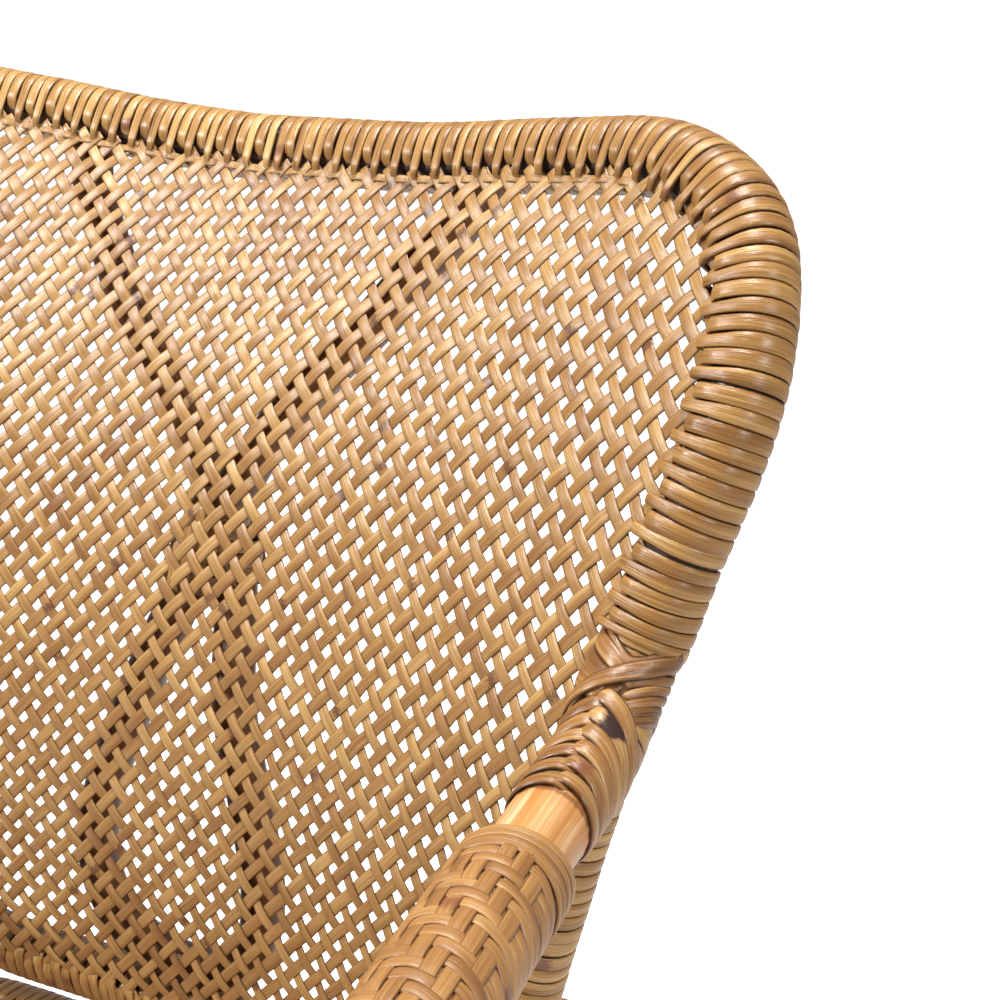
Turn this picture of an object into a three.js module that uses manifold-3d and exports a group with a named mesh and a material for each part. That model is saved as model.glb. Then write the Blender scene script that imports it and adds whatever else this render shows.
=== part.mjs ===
// A rattan armchair with a woven wing back whose rim sweeps forward into the arms and front legs.
// Millimetres. +X is the sitter's left, +Y is the back, +Z is up.
// The origin lies on the floor under the middle of the chair.

import * as THREE from 'three';
import { mergeVertices } from 'three/addons/utils/BufferGeometryUtils.js';
import { ConvexGeometry } from 'three/addons/geometries/ConvexGeometry.js';
import Module from 'manifold-3d';

const wasm = await Module();
wasm.setup();

// The gap that touching pieces keep, and how finely poles are drawn.
const gap = 0.3;
const poleSides = 12;
const thinPoleSides = 8;
const fineStep = 3;
const longestRun = 75;
const sharpestTurn = Math.PI / 9;
const weld = 0.0005;

// Where two ends of a path meet is looked for in this share of it, halved again and again.
const endSearch = 0.25;
const searchHalvings = 40;

// The back is a saddle: it leans and flares backwards as it rises, and its sides curve forward.
// Places on it are measured from the point where the ribbon pole crosses itself, and its lower rim
// stands a clear height above the seat ring.
const seatRingHeight = 401;
const backHalfWidth = 285;
const backRise = 195;
const backDrop = 241;
const backClearHeight = 48;
const crossingHeight = seatRingHeight + backClearHeight + backDrop;
const crossingBack = 229;
const backLeanShare = 0.3;
const backFlareRadius = 660;
const backHollowRadius = 625;

// The hand-bent rim isn't level: its right shoulder stands higher than its left one.
const shoulderTilt = 0.04;

// Poles, and the cane that binds them.
const poleRadius = 15;
const lowerRimRadius = 13.5;
const seatPoleRadius = 13;
const ribbonRadius = 11;
const slatRadius = 9;
const stretcherRadius = 10;
const braceRadius = 7.5;
const caneThickness = 1.5;
const lashingThickness = 2.6;

// Woven sheets: two crossing layers of cane, laid on the front or top of their rims.
const weaveThickness = 4;
const weaveLift = 15;
const weaveInset = 11;
const seatSag = 7;

// A grid of openings stands for the holes of the weave, which are far smaller and more.
const openingPitch = 60;
const openingReach = 19;
const openingMargin = 7;

// The arms: half of the widest spread, the reach forward from the crossing, and the fall to the leg.
const armHalfWidth = 317;
const armReach = 462;
const armFall = 200;
const armCoverWidth = 42;
const armCoverHeight = 37;

// The seat ring and the legs.
const seatFrontHalfWidth = 274;
const seatRearHalfWidth = 200;
const seatFrontReach = 232;
const seatRearReach = 204;
const frontFootSpread = 300;
const frontFootReach = 201;
const rearFootSpread = 232;
const rearFootReach = 236;
const rearLegRimDrop = 182;
const glideHeight = 7;
const stretcherHeight = 150;
const crossStretcherHeight = 188;
const braceReach = 95;
const lashingReach = 23;
const lowerEndReach = 48;
const shinShare = 0.5;
const kneeShare = 0.55;

// Screws and glide nails.
const screwRadius = 2;
const screwHeadRadius = 4;
const screwHeadHeight = 3;
const screwBite = 17;
const screwSides = 8;
const nailRadius = 1.6;
const nailLength = 14;

// What overruns a cut, so that no thin skin is left.
const overrun = 4;

// Outline of the back's rim from the top centre down one side, as shares of half width and of rise.
const upperRimShares = [
    [0, 0.947], [0.306, 0.963], [0.586, 1.005], [0.804, 1.022], [0.956, 0.917], [1.005, 0.704],
    [1, 0.534], [0.952, 0.256], [0.93, 0.075],
];

// The same outline below the arm, as shares of half width and of drop.
const lowerRimShares = [
    [0.905, 0.034], [0.885, -0.059], [0.845, -0.246], [0.8, -0.46], [0.745, -0.685], [0.65, -0.865], [0.455, -0.975],
    [0.21, -0.998], [0, -1],
];

// The arm from the rim to the front leg, as shares of half spread, reach and fall.
const armShares = [
    [0.836, 0.172, 0.03], [0.838, 0.225, 0.075], [0.846, 0.281, 0.095], [0.863, 0.341, 0.1],
    [0.896, 0.432, 0.095], [0.93, 0.53, 0.095], [0.962, 0.645, 0.11], [0.984, 0.755, 0.145],
    [0.996, 0.855, 0.21], [1, 0.935, 0.34], [0.993, 0.983, 0.57], [0.98, 1.005, 0.87],
];

// The seat ring from the rear centre round one side, as shares of its half widths and reaches.
const seatRearShares = [[0, 1], [0.5, 0.99], [0.83, 0.93], [0.985, 0.77]];
const seatFrontShares = [[0.995, -0.8], [0.985, -0.93], [0.9, -1.035], [0.5, -1.085], [0, -1.1]];

// The ribbon pole from the top down to its loop, as shares of its top spread, loop width and heights.
const ribbonTopSpread = 129;
const ribbonLoopHalfWidth = 55;
const ribbonDipHeight = 90;
const ribbonHeadShare = 0.98;
const ribbonTopShares = [[0.9, 0.839], [0.77, 0.722], [0.61, 0.585], [0.43, 0.458], [0.25, 0.307], [0.12, 0.166]];
const ribbonLoopShares = [[0.24, -0.16], [0.52, -0.33], [0.86, -0.56], [1, -0.72], [0.94, -0.85], [0.62, -0.955]];

// Finishes seen in the chair.
const finishes = {
    pole: { color: 0xc98a4e, roughness: 0.42, metalness: 0 },
    cane: { color: 0xc99d60, roughness: 0.45, metalness: 0 },
    weave: { color: 0xc29455, roughness: 0.48, metalness: 0 },
    steel: { color: 0x8d8d8a, roughness: 0.35, metalness: 0.9 },
    glide: { color: 0x2b2622, roughness: 0.6, metalness: 0 },
};

// A stretch of a curve, from one share of its length to another.
class Stretch extends THREE.Curve {

    constructor(curve, from, to) {
        super();
        this.curve = curve;
        this.from = from;
        this.to = to;
    }

    getPoint(t, target = new THREE.Vector3()) {
        return this.curve.getPointAt(THREE.MathUtils.lerp(this.from, this.to, t), target);
    }

}

// The share of a curve's length, between two shares, at which it passes a place across the chair.
function shareWhereAcross(curve, across, low, high) {
    const side = Math.sign(curve.getPointAt(low).x - across);
    for (let halving = 0; halving < searchHalvings; halving++) {
        const middle = (low + high) / 2;
        if (Math.sign(curve.getPointAt(middle).x - across) === side) low = middle;
        else high = middle;
    }
    return low;
}

// A spine is a run of stations with frames, so that a pole and what wraps it share their facets.
class Spine extends THREE.Curve {

    constructor(points, frames) {
        super();
        this.points = points;
        this.frames = frames;
    }

    static along(curve) {
        const count = Math.max(2, Math.round(curve.getLength() / fineStep));
        return new Spine(curve.getSpacedPoints(count), curve.computeFrenetFrames(count, false));
    }

    // Fewer stations: close together in the bends, far apart on the straights, with one at each mark.
    // An even spine is thinned up to its middle, and the other half is given the same stations.
    thinned(marks = [], even = false) {
        const marked = marks.map((mark) => this.nearest(mark));
        const { tangents, normals, binormals } = this.frames;
        const kept = [0];
        const end = even ? Math.ceil(this.steps / 2) : this.steps;
        for (let index = 1; index < end; index++) {
            const last = kept[kept.length - 1];
            const turn = tangents[last].angleTo(tangents[index + 1]);
            const run = (index + 1 - last) * fineStep;
            if (marked.includes(index) || turn > sharpestTurn || run > longestRun) kept.push(index);
        }
        if (even) kept.push(...kept.map((index) => this.steps - index).reverse());
        else kept.push(this.steps);
        const pick = (list) => kept.map((index) => list[index]);
        const frames = { tangents: pick(tangents), normals: pick(normals), binormals: pick(binormals) };
        return new Spine(pick(this.points), frames);
    }

    // The point that lies a distance further along than a place, or before it.
    beyond(place, distance) {
        const index = this.nearest(place) + Math.round(distance / fineStep);
        return this.points[Math.min(Math.max(index, 0), this.steps)];
    }

    // Frames whose binormal stays level, for sections that have a top and a bottom.
    level() {
        const up = new THREE.Vector3(0, 0, 1);
        const normals = [];
        const binormals = [];
        for (const tangent of this.frames.tangents) {
            const normal = new THREE.Vector3().crossVectors(up, tangent).normalize();
            normals.push(normal);
            binormals.push(new THREE.Vector3().crossVectors(tangent, normal));
        }
        return new Spine(this.points, { tangents: this.frames.tangents, normals, binormals });
    }

    part(first, last) {
        const cut = (list) => list.slice(first, last + 1);
        const { tangents, normals, binormals } = this.frames;
        const frames = { tangents: cut(tangents), normals: cut(normals), binormals: cut(binormals) };
        return new Spine(cut(this.points), frames);
    }

    get steps() {
        return this.points.length - 1;
    }

    getPoint(t, target = new THREE.Vector3()) {
        const place = Math.min(Math.max(t, 0), 1) * this.steps;
        const index = Math.min(Math.floor(place), this.steps - 1);
        return target.lerpVectors(this.points[index], this.points[index + 1], place - index);
    }

    getSpacedPoints() {
        return this.points;
    }

    computeFrenetFrames() {
        return this.frames;
    }

    // The station nearest to a place.
    nearest(place) {
        let best = 0;
        this.points.forEach((point, index) => {
            if (point.distanceTo(place) < this.points[best].distanceTo(place)) best = index;
        });
        return best;
    }

    // The point at a height, searched from the last station backwards.
    atHeight(height) {
        for (let index = this.steps; index > 0; index--) {
            const low = this.points[index];
            const high = this.points[index - 1];
            if ((low.z - height) * (high.z - height) <= 0) {
                const share = (height - low.z) / (high.z - low.z);
                return new THREE.Vector3().lerpVectors(low, high, share);
            }
        }
        return this.points[this.steps].clone();
    }

}

function ringPoints(radiusX, radiusY, sides) {
    const points = [];
    for (let side = 0; side < sides; side++) {
        const angle = side / sides * Math.PI * 2;
        points.push(new THREE.Vector2(Math.cos(angle) * radiusX, Math.sin(angle) * radiusY));
    }
    return points;
}

function sweep(spine, radiusX, radiusY = radiusX, sides = poleSides, boreRadius = 0) {
    const shape = new THREE.Shape(ringPoints(radiusX, radiusY, sides));
    if (boreRadius > 0) shape.holes.push(new THREE.Path(ringPoints(boreRadius, boreRadius, sides)));
    return new THREE.ExtrudeGeometry(shape, { steps: spine.steps, bevelEnabled: false, extrudePath: spine });
}

// A bore whose flats clear a pole of this radius, whichever way its facets are turned.
function boreAround(radius, sides = poleSides) {
    return radius / Math.cos(Math.PI / sides) + gap;
}

function toSolid(geometry) {
    const bare = geometry.clone();
    bare.deleteAttribute('normal');
    bare.deleteAttribute('uv');
    const merged = mergeVertices(bare, weld);
    return new wasm.Manifold(new wasm.Mesh({
        numProp: 3,
        vertProperties: new Float32Array(merged.attributes.position.array),
        triVerts: new Uint32Array(merged.index.array),
    }));
}

function toGeometry(solid) {
    const mesh = solid.getMesh();
    const geometry = new THREE.BufferGeometry();
    geometry.setAttribute('position', new THREE.BufferAttribute(new Float32Array(mesh.vertProperties), 3));
    geometry.setIndex(new THREE.BufferAttribute(new Uint32Array(mesh.triVerts), 1));
    geometry.computeVertexNormals();
    return geometry;
}

const pole = (spine, radius, sides = poleSides) => toSolid(sweep(spine, radius, radius, sides));
const sleeve = (spine, outer, bore, sides = poleSides) => toSolid(sweep(spine, outer, outer, sides, bore));

function cutBy(solid, ...tools) {
    return tools.reduce((left, tool) => left.subtract(tool), solid);
}

// A cut can leave a crumb on the far side of a pole: only the main body is kept.
function largestOf(solid) {
    return solid.decompose().reduce((a, b) => (a.volume() > b.volume() ? a : b));
}

const chair = new THREE.Group();

function addPiece(name, solid, finish) {
    const geometry = solid instanceof THREE.BufferGeometry ? solid : toGeometry(solid);
    const piece = new THREE.Mesh(geometry, new THREE.MeshStandardMaterial(finishes[finish]));
    piece.name = name;
    chair.add(piece);
}

const sides = [
    { name: 'left', sign: 1 },
    { name: 'right', sign: -1 },
];

// The back's surface: depth at a place across and above the crossing, and its normal to the rear.
function backPoint(x, z, behind = 0) {
    const slopeX = -x / backHollowRadius;
    const slopeZ = backLeanShare + z / backFlareRadius;
    const depth = backLeanShare * z + z * z / (2 * backFlareRadius) - x * x / (2 * backHollowRadius);
    const rear = new THREE.Vector3(-slopeX, 1, -slopeZ).normalize();
    return new THREE.Vector3(x, crossingBack + depth, crossingHeight + z).addScaledVector(rear, behind);
}

function rearNormal(point) {
    const across = point.x;
    const above = point.z - crossingHeight;
    return backPoint(across, above, 1).sub(backPoint(across, above));
}

const smooth = (points, closed = false) => new THREE.CatmullRomCurve3(points, closed, 'centripetal');
const mirrored = (points, sign) => points.map((point) => new THREE.Vector3(point.x * sign, point.y, point.z));

// One side's half of the upper rim, with places across counted outwards. The left side is 1, the right -1.
const upperRim = (sign) => upperRimShares.map(([across, up]) => [
    across * backHalfWidth,
    up * (backRise - sign * shoulderTilt * across * backHalfWidth),
]);
const lowerRim = lowerRimShares.map(([across, down]) => [across * backHalfWidth, down * backDrop]);

// The seat ring, from the rear centre round to the front centre.
const ringOuterRadius = seatPoleRadius + caneThickness;
const ringRearPlan = seatRearShares.map(([across, back]) => [across * seatRearHalfWidth, back * seatRearReach]);
const ringFrontPlan = seatFrontShares.map(([across, back]) => [across * seatFrontHalfWidth, back * seatFrontReach]);
const ringBend = ringRearPlan[ringRearPlan.length - 1];
const ringShoulder = ringFrontPlan[0];
const ringMiddle = [(ringBend[0] + ringShoulder[0]) / 2, (ringBend[1] + ringShoulder[1]) / 2];
const ringHalfPlan = [...ringRearPlan, ringMiddle, ...ringFrontPlan];

const ringPlanPoint = ([x, y]) => new THREE.Vector3(x, y, seatRingHeight);
const ringHalf = ringHalfPlan.map(ringPlanPoint);
const ringHalfBack = mirrored(ringHalf.slice(0, -1).reverse(), -1);
const ringLoop = [...ringHalf, ...ringHalfBack.slice(0, -1)];

// The ring is one bent pole whose ends meet, a gap apart, at the rear centre.
const ringPath = smooth([
    ...mirrored([ringHalf[1]], -1),
    ...ringHalf,
    ...ringHalfBack,
    ringHalf[1],
]);
const ringStart = shareWhereAcross(ringPath, gap / 2, 0, endSearch);
const ringEnd = shareWhereAcross(ringPath, -gap / 2, 1 - endSearch, 1);
const ringFine = Spine.along(new Stretch(ringPath, ringStart, ringEnd));

// Where a leg stands against the ring: the nearest point on it, moved out by both radii.
function besideRing(place, radius) {
    const station = ringFine.nearest(place);
    const tangent = ringFine.frames.tangents[station];
    const outward = new THREE.Vector3(tangent.y, -tangent.x, 0).normalize();
    if (outward.dot(ringFine.points[station]) < 0) outward.negate();
    const seat = ringFine.points[station].clone();
    const leg = seat.clone().addScaledVector(outward, radius + ringOuterRadius + gap);
    return { outward, seat, leg };
}

const frontContact = besideRing(ringPlanPoint(ringShoulder), poleRadius);
const rearContact = besideRing(ringPlanPoint(ringBend), poleRadius);

// The ring has stations at each contact, at the ends of its lashing and where its braces meet it.
const ringContactPlaces = [frontContact.seat, rearContact.seat];
const ringMarkReaches = [0, -lashingReach, lashingReach, -braceReach, braceReach];
const ringSpine = ringFine.thinned(
    [...ringContactPlaces, ...mirrored(ringContactPlaces, -1)]
        .flatMap((place) => ringMarkReaches.map((reach) => ringFine.beyond(place, reach))),
    true,
);

// The hoop: one pole a side, from the splice at the top centre, down the rim, along the arm and
// down the front leg to the floor.
function hoopPoints(sign) {
    const rim = upperRim(sign).map(([x, z]) => backPoint(x, z));
    const arm = armShares.map(([across, forward, down]) => new THREE.Vector3(
        across * armHalfWidth,
        crossingBack - forward * armReach,
        crossingHeight - down * armFall,
    ));
    const foot = new THREE.Vector3(frontFootSpread, -frontFootReach, glideHeight + gap);
    const leg = frontContact.leg.clone();
    const shin = new THREE.Vector3().lerpVectors(leg, foot, shinShare);
    return mirrored([...mirrored([rim[1]], -1), ...rim, ...arm, leg, shin, foot], sign);
}

// The hoop has stations at the ends of its joint lashing and arm cover, and at the seat ring.
const armPlace = ([across, forward, down], sign) => new THREE.Vector3(
    across * armHalfWidth * sign,
    crossingBack - forward * armReach,
    crossingHeight - down * armFall,
);
const jointStart = (sign) => mirrored([backPoint(...upperRim(sign).at(-2))], sign)[0];
const jointEndShare = armShares[2];
const coverStartShare = armShares[3];
const coverEndShare = armShares[8];

function hoopMarks(sign) {
    return [
        jointStart(sign),
        ...[jointEndShare, coverStartShare, coverEndShare].map((share) => armPlace(share, sign)),
        mirrored([frontContact.leg], sign)[0],
    ];
}

const hoopSpines = sides.map(({ sign }) => {
    const path = smooth(hoopPoints(sign));
    const start = shareWhereAcross(path, sign * gap / 2, 0, endSearch);
    return Spine.along(new Stretch(path, start, 1)).thinned(hoopMarks(sign));
});

// The lower rim: a bent pole from under one arm joint, round the bottom, to the other.
const lowerHalf = lowerRim.map(([x, z]) => backPoint(x, z));
const lowerPath = smooth([...lowerHalf, ...mirrored(lowerHalf.slice(0, -1).reverse(), -1)]);
const lowerFine = Spine.along(lowerPath);
const lowerOuterRadius = lowerRimRadius + caneThickness;

// A woven sheet: a disc of rings drawn out to an outline, with an upper and a lower layer.
function sheet(outline, place, thickness, rings) {
    const count = outline.length;
    const positions = [];
    const faces = [];
    const layers = [thickness / 2, -thickness / 2];
    for (const lift of layers) {
        positions.push(...place(0, 0, 0, lift).toArray());
        for (let ring = 1; ring <= rings; ring++) {
            const share = ring / rings;
            for (const [a, b] of outline) positions.push(...place(a * share, b * share, share, lift).toArray());
        }
    }
    const layerSize = 1 + rings * count;
    const index = (layer, ring, step) => layer * layerSize + 1 + (ring - 1) * count + (step + count) % count;
    const face = (layer, a, b, c) => faces.push(...(layer === 0 ? [a, b, c] : [a, c, b]));
    for (let layer = 0; layer < layers.length; layer++) {
        for (let step = 0; step < count; step++) {
            face(layer, layer * layerSize, index(layer, 1, step), index(layer, 1, step + 1));
            for (let ring = 1; ring < rings; ring++) {
                const near = [index(layer, ring, step), index(layer, ring, step + 1)];
                const far = [index(layer, ring + 1, step), index(layer, ring + 1, step + 1)];
                face(layer, near[0], far[0], far[1]);
                face(layer, near[0], far[1], near[1]);
            }
        }
    }
    for (let step = 0; step < count; step++) {
        const top = [index(0, rings, step), index(0, rings, step + 1)];
        const bottom = [index(1, rings, step), index(1, rings, step + 1)];
        faces.push(top[0], bottom[0], bottom[1], top[0], bottom[1], top[1]);
    }
    return new wasm.Manifold(new wasm.Mesh({
        numProp: 3,
        vertProperties: new Float32Array(positions),
        triVerts: new Uint32Array(faces),
    }));
}

// A closed plan outline drawn in by an inset, as plain pairs.
function insetOutline(pairs, inset, count) {
    const loop = smooth(pairs.map(([a, b]) => new THREE.Vector3(a, b, 0)), true);
    const points = loop.getSpacedPoints(count).slice(0, -1);
    const area = points.reduce((sum, point, index) => {
        const next = points[(index + 1) % points.length];
        return sum + point.x * next.y - next.x * point.y;
    }, 0);
    const turned = area > 0 ? points : points.reverse();
    return turned.map((point, index) => {
        const before = turned[(index + turned.length - 1) % turned.length];
        const after = turned[(index + 1) % turned.length];
        const run = new THREE.Vector2(after.x - before.x, after.y - before.y).normalize();
        return [point.x - run.y * inset, point.y + run.x * inset];
    });
}

const outlineSteps = 40;
const backRings = 5;
const seatRings = 3;
const rimHalf = (sign) => [...upperRim(sign), ...lowerRim];
const rimLoop = [...rimHalf(1), ...rimHalf(-1).slice(1, -1).reverse().map(([x, z]) => [-x, z])];

function backSheet(thickness, inset) {
    const outline = insetOutline(rimLoop, inset, outlineSteps);
    return sheet(outline, (x, z, share, lift) => backPoint(x, z, -weaveLift - lift), thickness, backRings);
}

const seatLoop = ringLoop.map((point) => [point.x, point.y]);
const seatLift = weaveLift - poleRadius + seatPoleRadius;
const sagAt = (share) => seatSag * (1 - share * share);

function seatSheet(thickness, inset) {
    const outline = insetOutline(seatLoop, inset, outlineSteps);
    const place = (x, y, share, lift) => new THREE.Vector3(x, y, seatRingHeight + seatLift - sagAt(share) + lift);
    return sheet(outline, place, thickness, seatRings);
}

// Even-odd test of a place against a closed outline.
function isWithin(x, y, outline) {
    return outline.reduce((within, [ax, ay], index) => {
        const [bx, by] = outline[(index + 1) % outline.length];
        const crosses = (ay > y) !== (by > y) && x < ax + (y - ay) / (by - ay) * (bx - ax);
        return within !== crosses;
    }, false);
}

// The middles of the openings: those of a square grid that keep a margin inside the outline.
function openingPlaces(outline) {
    const span = Math.max(...outline.flat().map(Math.abs));
    const count = Math.floor(span / openingPitch);
    const marks = Array.from({ length: 2 * count + 1 }, (_, index) => (index - count) * openingPitch);
    const reach = openingReach + openingMargin;
    const corners = [[reach, 0], [0, reach], [-reach, 0], [0, -reach]];
    return marks
        .flatMap((x) => marks.map((y) => [x, y]))
        .filter(([x, y]) => corners.every(([across, up]) => isWithin(x + across, y + up, outline)));
}

// Four-sided openings, point up like the holes of a weave on the bias.
const openingCutter = wasm.Manifold.cylinder(2 * (backRise + backDrop), openingReach, openingReach, 4, true);
const backOpenings = openingPlaces(insetOutline(rimLoop, weaveInset, outlineSteps)).map(([x, z]) => (
    openingCutter.rotate([90, 0, 0]).translate([x, crossingBack, crossingHeight + z])
));
const seatOpenings = openingPlaces(insetOutline(seatLoop, weaveInset, outlineSteps)).map(([x, y]) => (
    openingCutter.translate([x, y, seatRingHeight])
));

const backClearance = backSheet(weaveThickness + 2 * gap, weaveInset - gap);
const seatClearance = seatSheet(weaveThickness + 2 * gap, weaveInset - gap);

// Screws: each is driven from a pole's outer side through it and into its neighbour.
const screwRuns = [];

function planScrew(name, head, direction, thickness) {
    screwRuns.push({ name, head, direction: direction.clone().normalize(), length: thickness + screwBite });
}

function turned(profile, run) {
    const geometry = new THREE.LatheGeometry(profile.map(([r, y]) => new THREE.Vector2(r, y)), screwSides);
    const turn = new THREE.Quaternion().setFromUnitVectors(new THREE.Vector3(0, 1, 0), run.direction);
    geometry.applyQuaternion(turn);
    geometry.translate(run.head.x, run.head.y, run.head.z);
    return toSolid(geometry);
}

function screwBody(run) {
    return turned([
        [0, 0], [screwHeadRadius, 0], [screwRadius, screwHeadHeight], [screwRadius, run.length], [0, run.length],
    ], run);
}

function screwHole(run) {
    const bore = screwRadius / Math.cos(Math.PI / screwSides) + gap;
    const mouth = screwHeadRadius / Math.cos(Math.PI / screwSides) + gap;
    const depth = run.length + gap;
    return turned([
        [0, -overrun], [mouth, -overrun], [mouth, gap], [bore, screwHeadHeight + gap], [bore, depth], [0, depth],
    ], run);
}

// The legs behind: from the floor, past the seat ring, to the back of the lower rim.
function lowerRimSeat(drop, sign) {
    const half = lowerFine.points.filter((point) => point.x * sign > 0);
    const height = crossingHeight - drop;
    const nearest = half.reduce((a, b) => (Math.abs(a.z - height) < Math.abs(b.z - height) ? a : b));
    return nearest.clone().addScaledVector(rearNormal(nearest), lowerOuterRadius + poleRadius + gap);
}

// The lower rim has stations where its end lashings stop.
const lowerEnds = [
    lowerFine.beyond(lowerFine.points[0], lowerEndReach),
    lowerFine.beyond(lowerFine.points[lowerFine.steps], -lowerEndReach),
];
const lowerSpine = lowerFine.thinned(lowerEnds, true);

function rearLegPoints(sign) {
    const foot = new THREE.Vector3(rearFootSpread * sign, rearFootReach, glideHeight + gap);
    const ringSide = mirrored([rearContact.leg], sign)[0];
    const knee = new THREE.Vector3().lerpVectors(foot, ringSide, kneeShare);
    const rimSide = lowerRimSeat(rearLegRimDrop, sign);
    const tip = rimSide.clone().add(rimSide.clone().sub(ringSide).setLength(lashingReach));
    return [tip, rimSide, ringSide, knee, foot];
}

const rearFines = sides.map(({ sign }) => Spine.along(smooth(rearLegPoints(sign))));
const rearSpines = rearFines.map((spine, index) => spine.thinned(rearLegPoints(sides[index].sign)));

for (const { name, sign } of sides) {
    for (const [place, contact] of [['front', frontContact], ['rear', rearContact]]) {
        const outward = mirrored([contact.outward], sign)[0];
        const leg = mirrored([contact.leg], sign)[0];
        const head = leg.clone().addScaledVector(outward, poleRadius - overrun);
        planScrew(`${place}_leg_screw_${name}`, head, outward.clone().negate(), 2 * poleRadius - overrun);
    }
    const rimSeat = lowerRimSeat(rearLegRimDrop, sign);
    const inward = rearNormal(rimSeat).negate();
    const rimHead = rimSeat.clone().addScaledVector(inward, overrun - poleRadius);
    planScrew(`back_leg_screw_${name}`, rimHead, inward, 2 * poleRadius - overrun);
}
const screwHoles = screwRuns.map(screwHole);

// Feet: a nailed glide under each leg.
const footPlaces = [...hoopSpines, ...rearSpines].map((spine) => spine.points[spine.steps]);

function glideBody(place) {
    const geometry = new THREE.LatheGeometry([
        [0, 0], [poleRadius - glideHeight / 4, 0], [poleRadius, glideHeight / 4], [poleRadius, glideHeight],
        [nailRadius, glideHeight], [nailRadius, glideHeight + nailLength], [0, glideHeight + nailLength],
    ].map(([r, y]) => new THREE.Vector2(r, y)), poleSides);
    geometry.rotateX(Math.PI / 2);
    geometry.translate(place.x, place.y, 0);
    return geometry;
}

function nailHole(place) {
    const bore = boreAround(nailRadius);
    const geometry = new THREE.CylinderGeometry(bore, bore, 2 * nailLength, poleSides);
    geometry.rotateX(Math.PI / 2);
    geometry.translate(place.x, place.y, glideHeight + gap);
    return toSolid(geometry);
}

const nailHoles = footPlaces.map(nailHole);

// Each leg's foot is cut level above its glide.
function floorCut(place) {
    const block = new THREE.BoxGeometry(4 * poleRadius, 4 * poleRadius, 4 * poleRadius);
    block.translate(place.x, place.y, glideHeight + gap - 2 * poleRadius);
    return toSolid(block);
}

const floorCuts = footPlaces.map(floorCut);

const ringClearance = pole(ringSpine, ringOuterRadius + gap);
const hoopClearances = hoopSpines.map((spine) => pole(spine, poleRadius + gap));
const rearClearances = rearSpines.map((spine) => pole(spine, poleRadius + gap));
const lowerClearance = pole(lowerSpine, lowerOuterRadius + gap);

// Hoops.
sides.forEach(({ name }, index) => {
    const solid = pole(hoopSpines[index], poleRadius);
    addPiece(`hoop_pole_${name}`, cutBy(solid, nailHoles[index], floorCuts[index], ...screwHoles), 'pole');
});

// The lower rim pole is coped to the hoop at both ends.
addPiece('lower_rim_pole', cutBy(pole(lowerSpine, lowerRimRadius), ...hoopClearances, ...screwHoles), 'pole');

// Rear legs.
sides.forEach(({ name }, index) => {
    const solid = pole(rearSpines[index], poleRadius);
    const holes = [nailHoles[index + 2], floorCuts[index + 2]];
    addPiece(`rear_leg_${name}`, cutBy(solid, ...holes, lowerClearance, ...screwHoles), 'pole');
});

// The seat ring.
addPiece('seat_ring_pole', cutBy(pole(ringSpine, seatPoleRadius), ...screwHoles), 'pole');

// The arm joint: a plaited lashing from the rim round on to the arm, over the lower rim's end.
const [lowerFirst, lowerLast] = lowerEnds.map((place) => lowerSpine.nearest(place));

sides.forEach(({ name, sign }, index) => {
    const spine = hoopSpines[index];
    const first = spine.nearest(jointStart(sign));
    const last = spine.nearest(armPlace(jointEndShare, sign));
    const wrapRadius = poleRadius + lashingThickness;
    const onHoop = pole(spine.part(first, last), wrapRadius);
    const lowerPart = sign > 0 ? lowerSpine.part(0, lowerFirst) : lowerSpine.part(lowerLast, lowerSpine.steps);
    const onLower = pole(lowerPart, lowerOuterRadius + lashingThickness);
    const plait = cutBy(onHoop.add(onLower), hoopClearances[index], lowerClearance, backClearance);
    addPiece(`arm_joint_lashing_${name}`, largestOf(plait), 'cane');
});

// Cane binding on the rim: the hoop's from the top centre to each lashing, then the lower rim's.
sides.forEach(({ name, sign }, index) => {
    const spine = hoopSpines[index];
    const last = spine.nearest(jointStart(sign));
    const wrap = sleeve(spine.part(0, last), poleRadius + caneThickness, poleRadius + gap);
    addPiece(`upper_rim_binding_${name}`, wrap, 'cane');
});
const lowerWrapSpine = lowerSpine.part(lowerFirst, lowerLast);
addPiece('lower_rim_binding', cutBy(
    sleeve(lowerWrapSpine, lowerOuterRadius, lowerRimRadius + gap),
    backClearance,
    ...screwHoles,
), 'cane');

// The woven back, and the ribbon pole that stiffens it from behind.
addPiece('woven_back', cutBy(backSheet(weaveThickness, weaveInset), ...backOpenings), 'weave');

const ribbonForward = weaveLift - weaveThickness / 2 - gap - ribbonRadius;
const ribbonCrossGap = 2 * ribbonRadius + 2 * gap;
const loopFoot = -backDrop + lowerOuterRadius + gap + ribbonRadius;

function ribbonPoint(x, z, dips) {
    const near = Math.abs(z) < ribbonDipHeight;
    const dip = dips && near ? (1 + Math.cos(Math.PI * z / ribbonDipHeight)) / 2 : 0;
    return backPoint(x, z, -ribbonForward + dip * ribbonCrossGap);
}

const ribbonHeadHeight = ribbonHeadShare * backRise;
const ribbonTops = ribbonTopShares.map(([across, up]) => [across * ribbonTopSpread, up * ribbonHeadHeight]);
const ribbonHead = [ribbonTopSpread, ribbonHeadHeight];
const ribbonLoop = ribbonLoopShares.map(([across, down]) => [across * ribbonLoopHalfWidth, -down * loopFoot]);
const ribbonFirst = [ribbonHead, ...ribbonTops, [0, 0], ...ribbonLoop.map(([x, z]) => [-x, z])];
const ribbonSecond = ribbonFirst.map(([x, z]) => [-x, z]).reverse();
const ribbonPath = smooth([
    ...ribbonFirst.map(([x, z]) => ribbonPoint(x, z, false)),
    ribbonPoint(0, loopFoot, false),
    ...ribbonSecond.map(([x, z]) => ribbonPoint(x, z, true)),
]);
const ribbonSpine = Spine.along(ribbonPath).thinned([0, 1].map((pass) => ribbonPoint(0, 0, pass === 1)));
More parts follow.
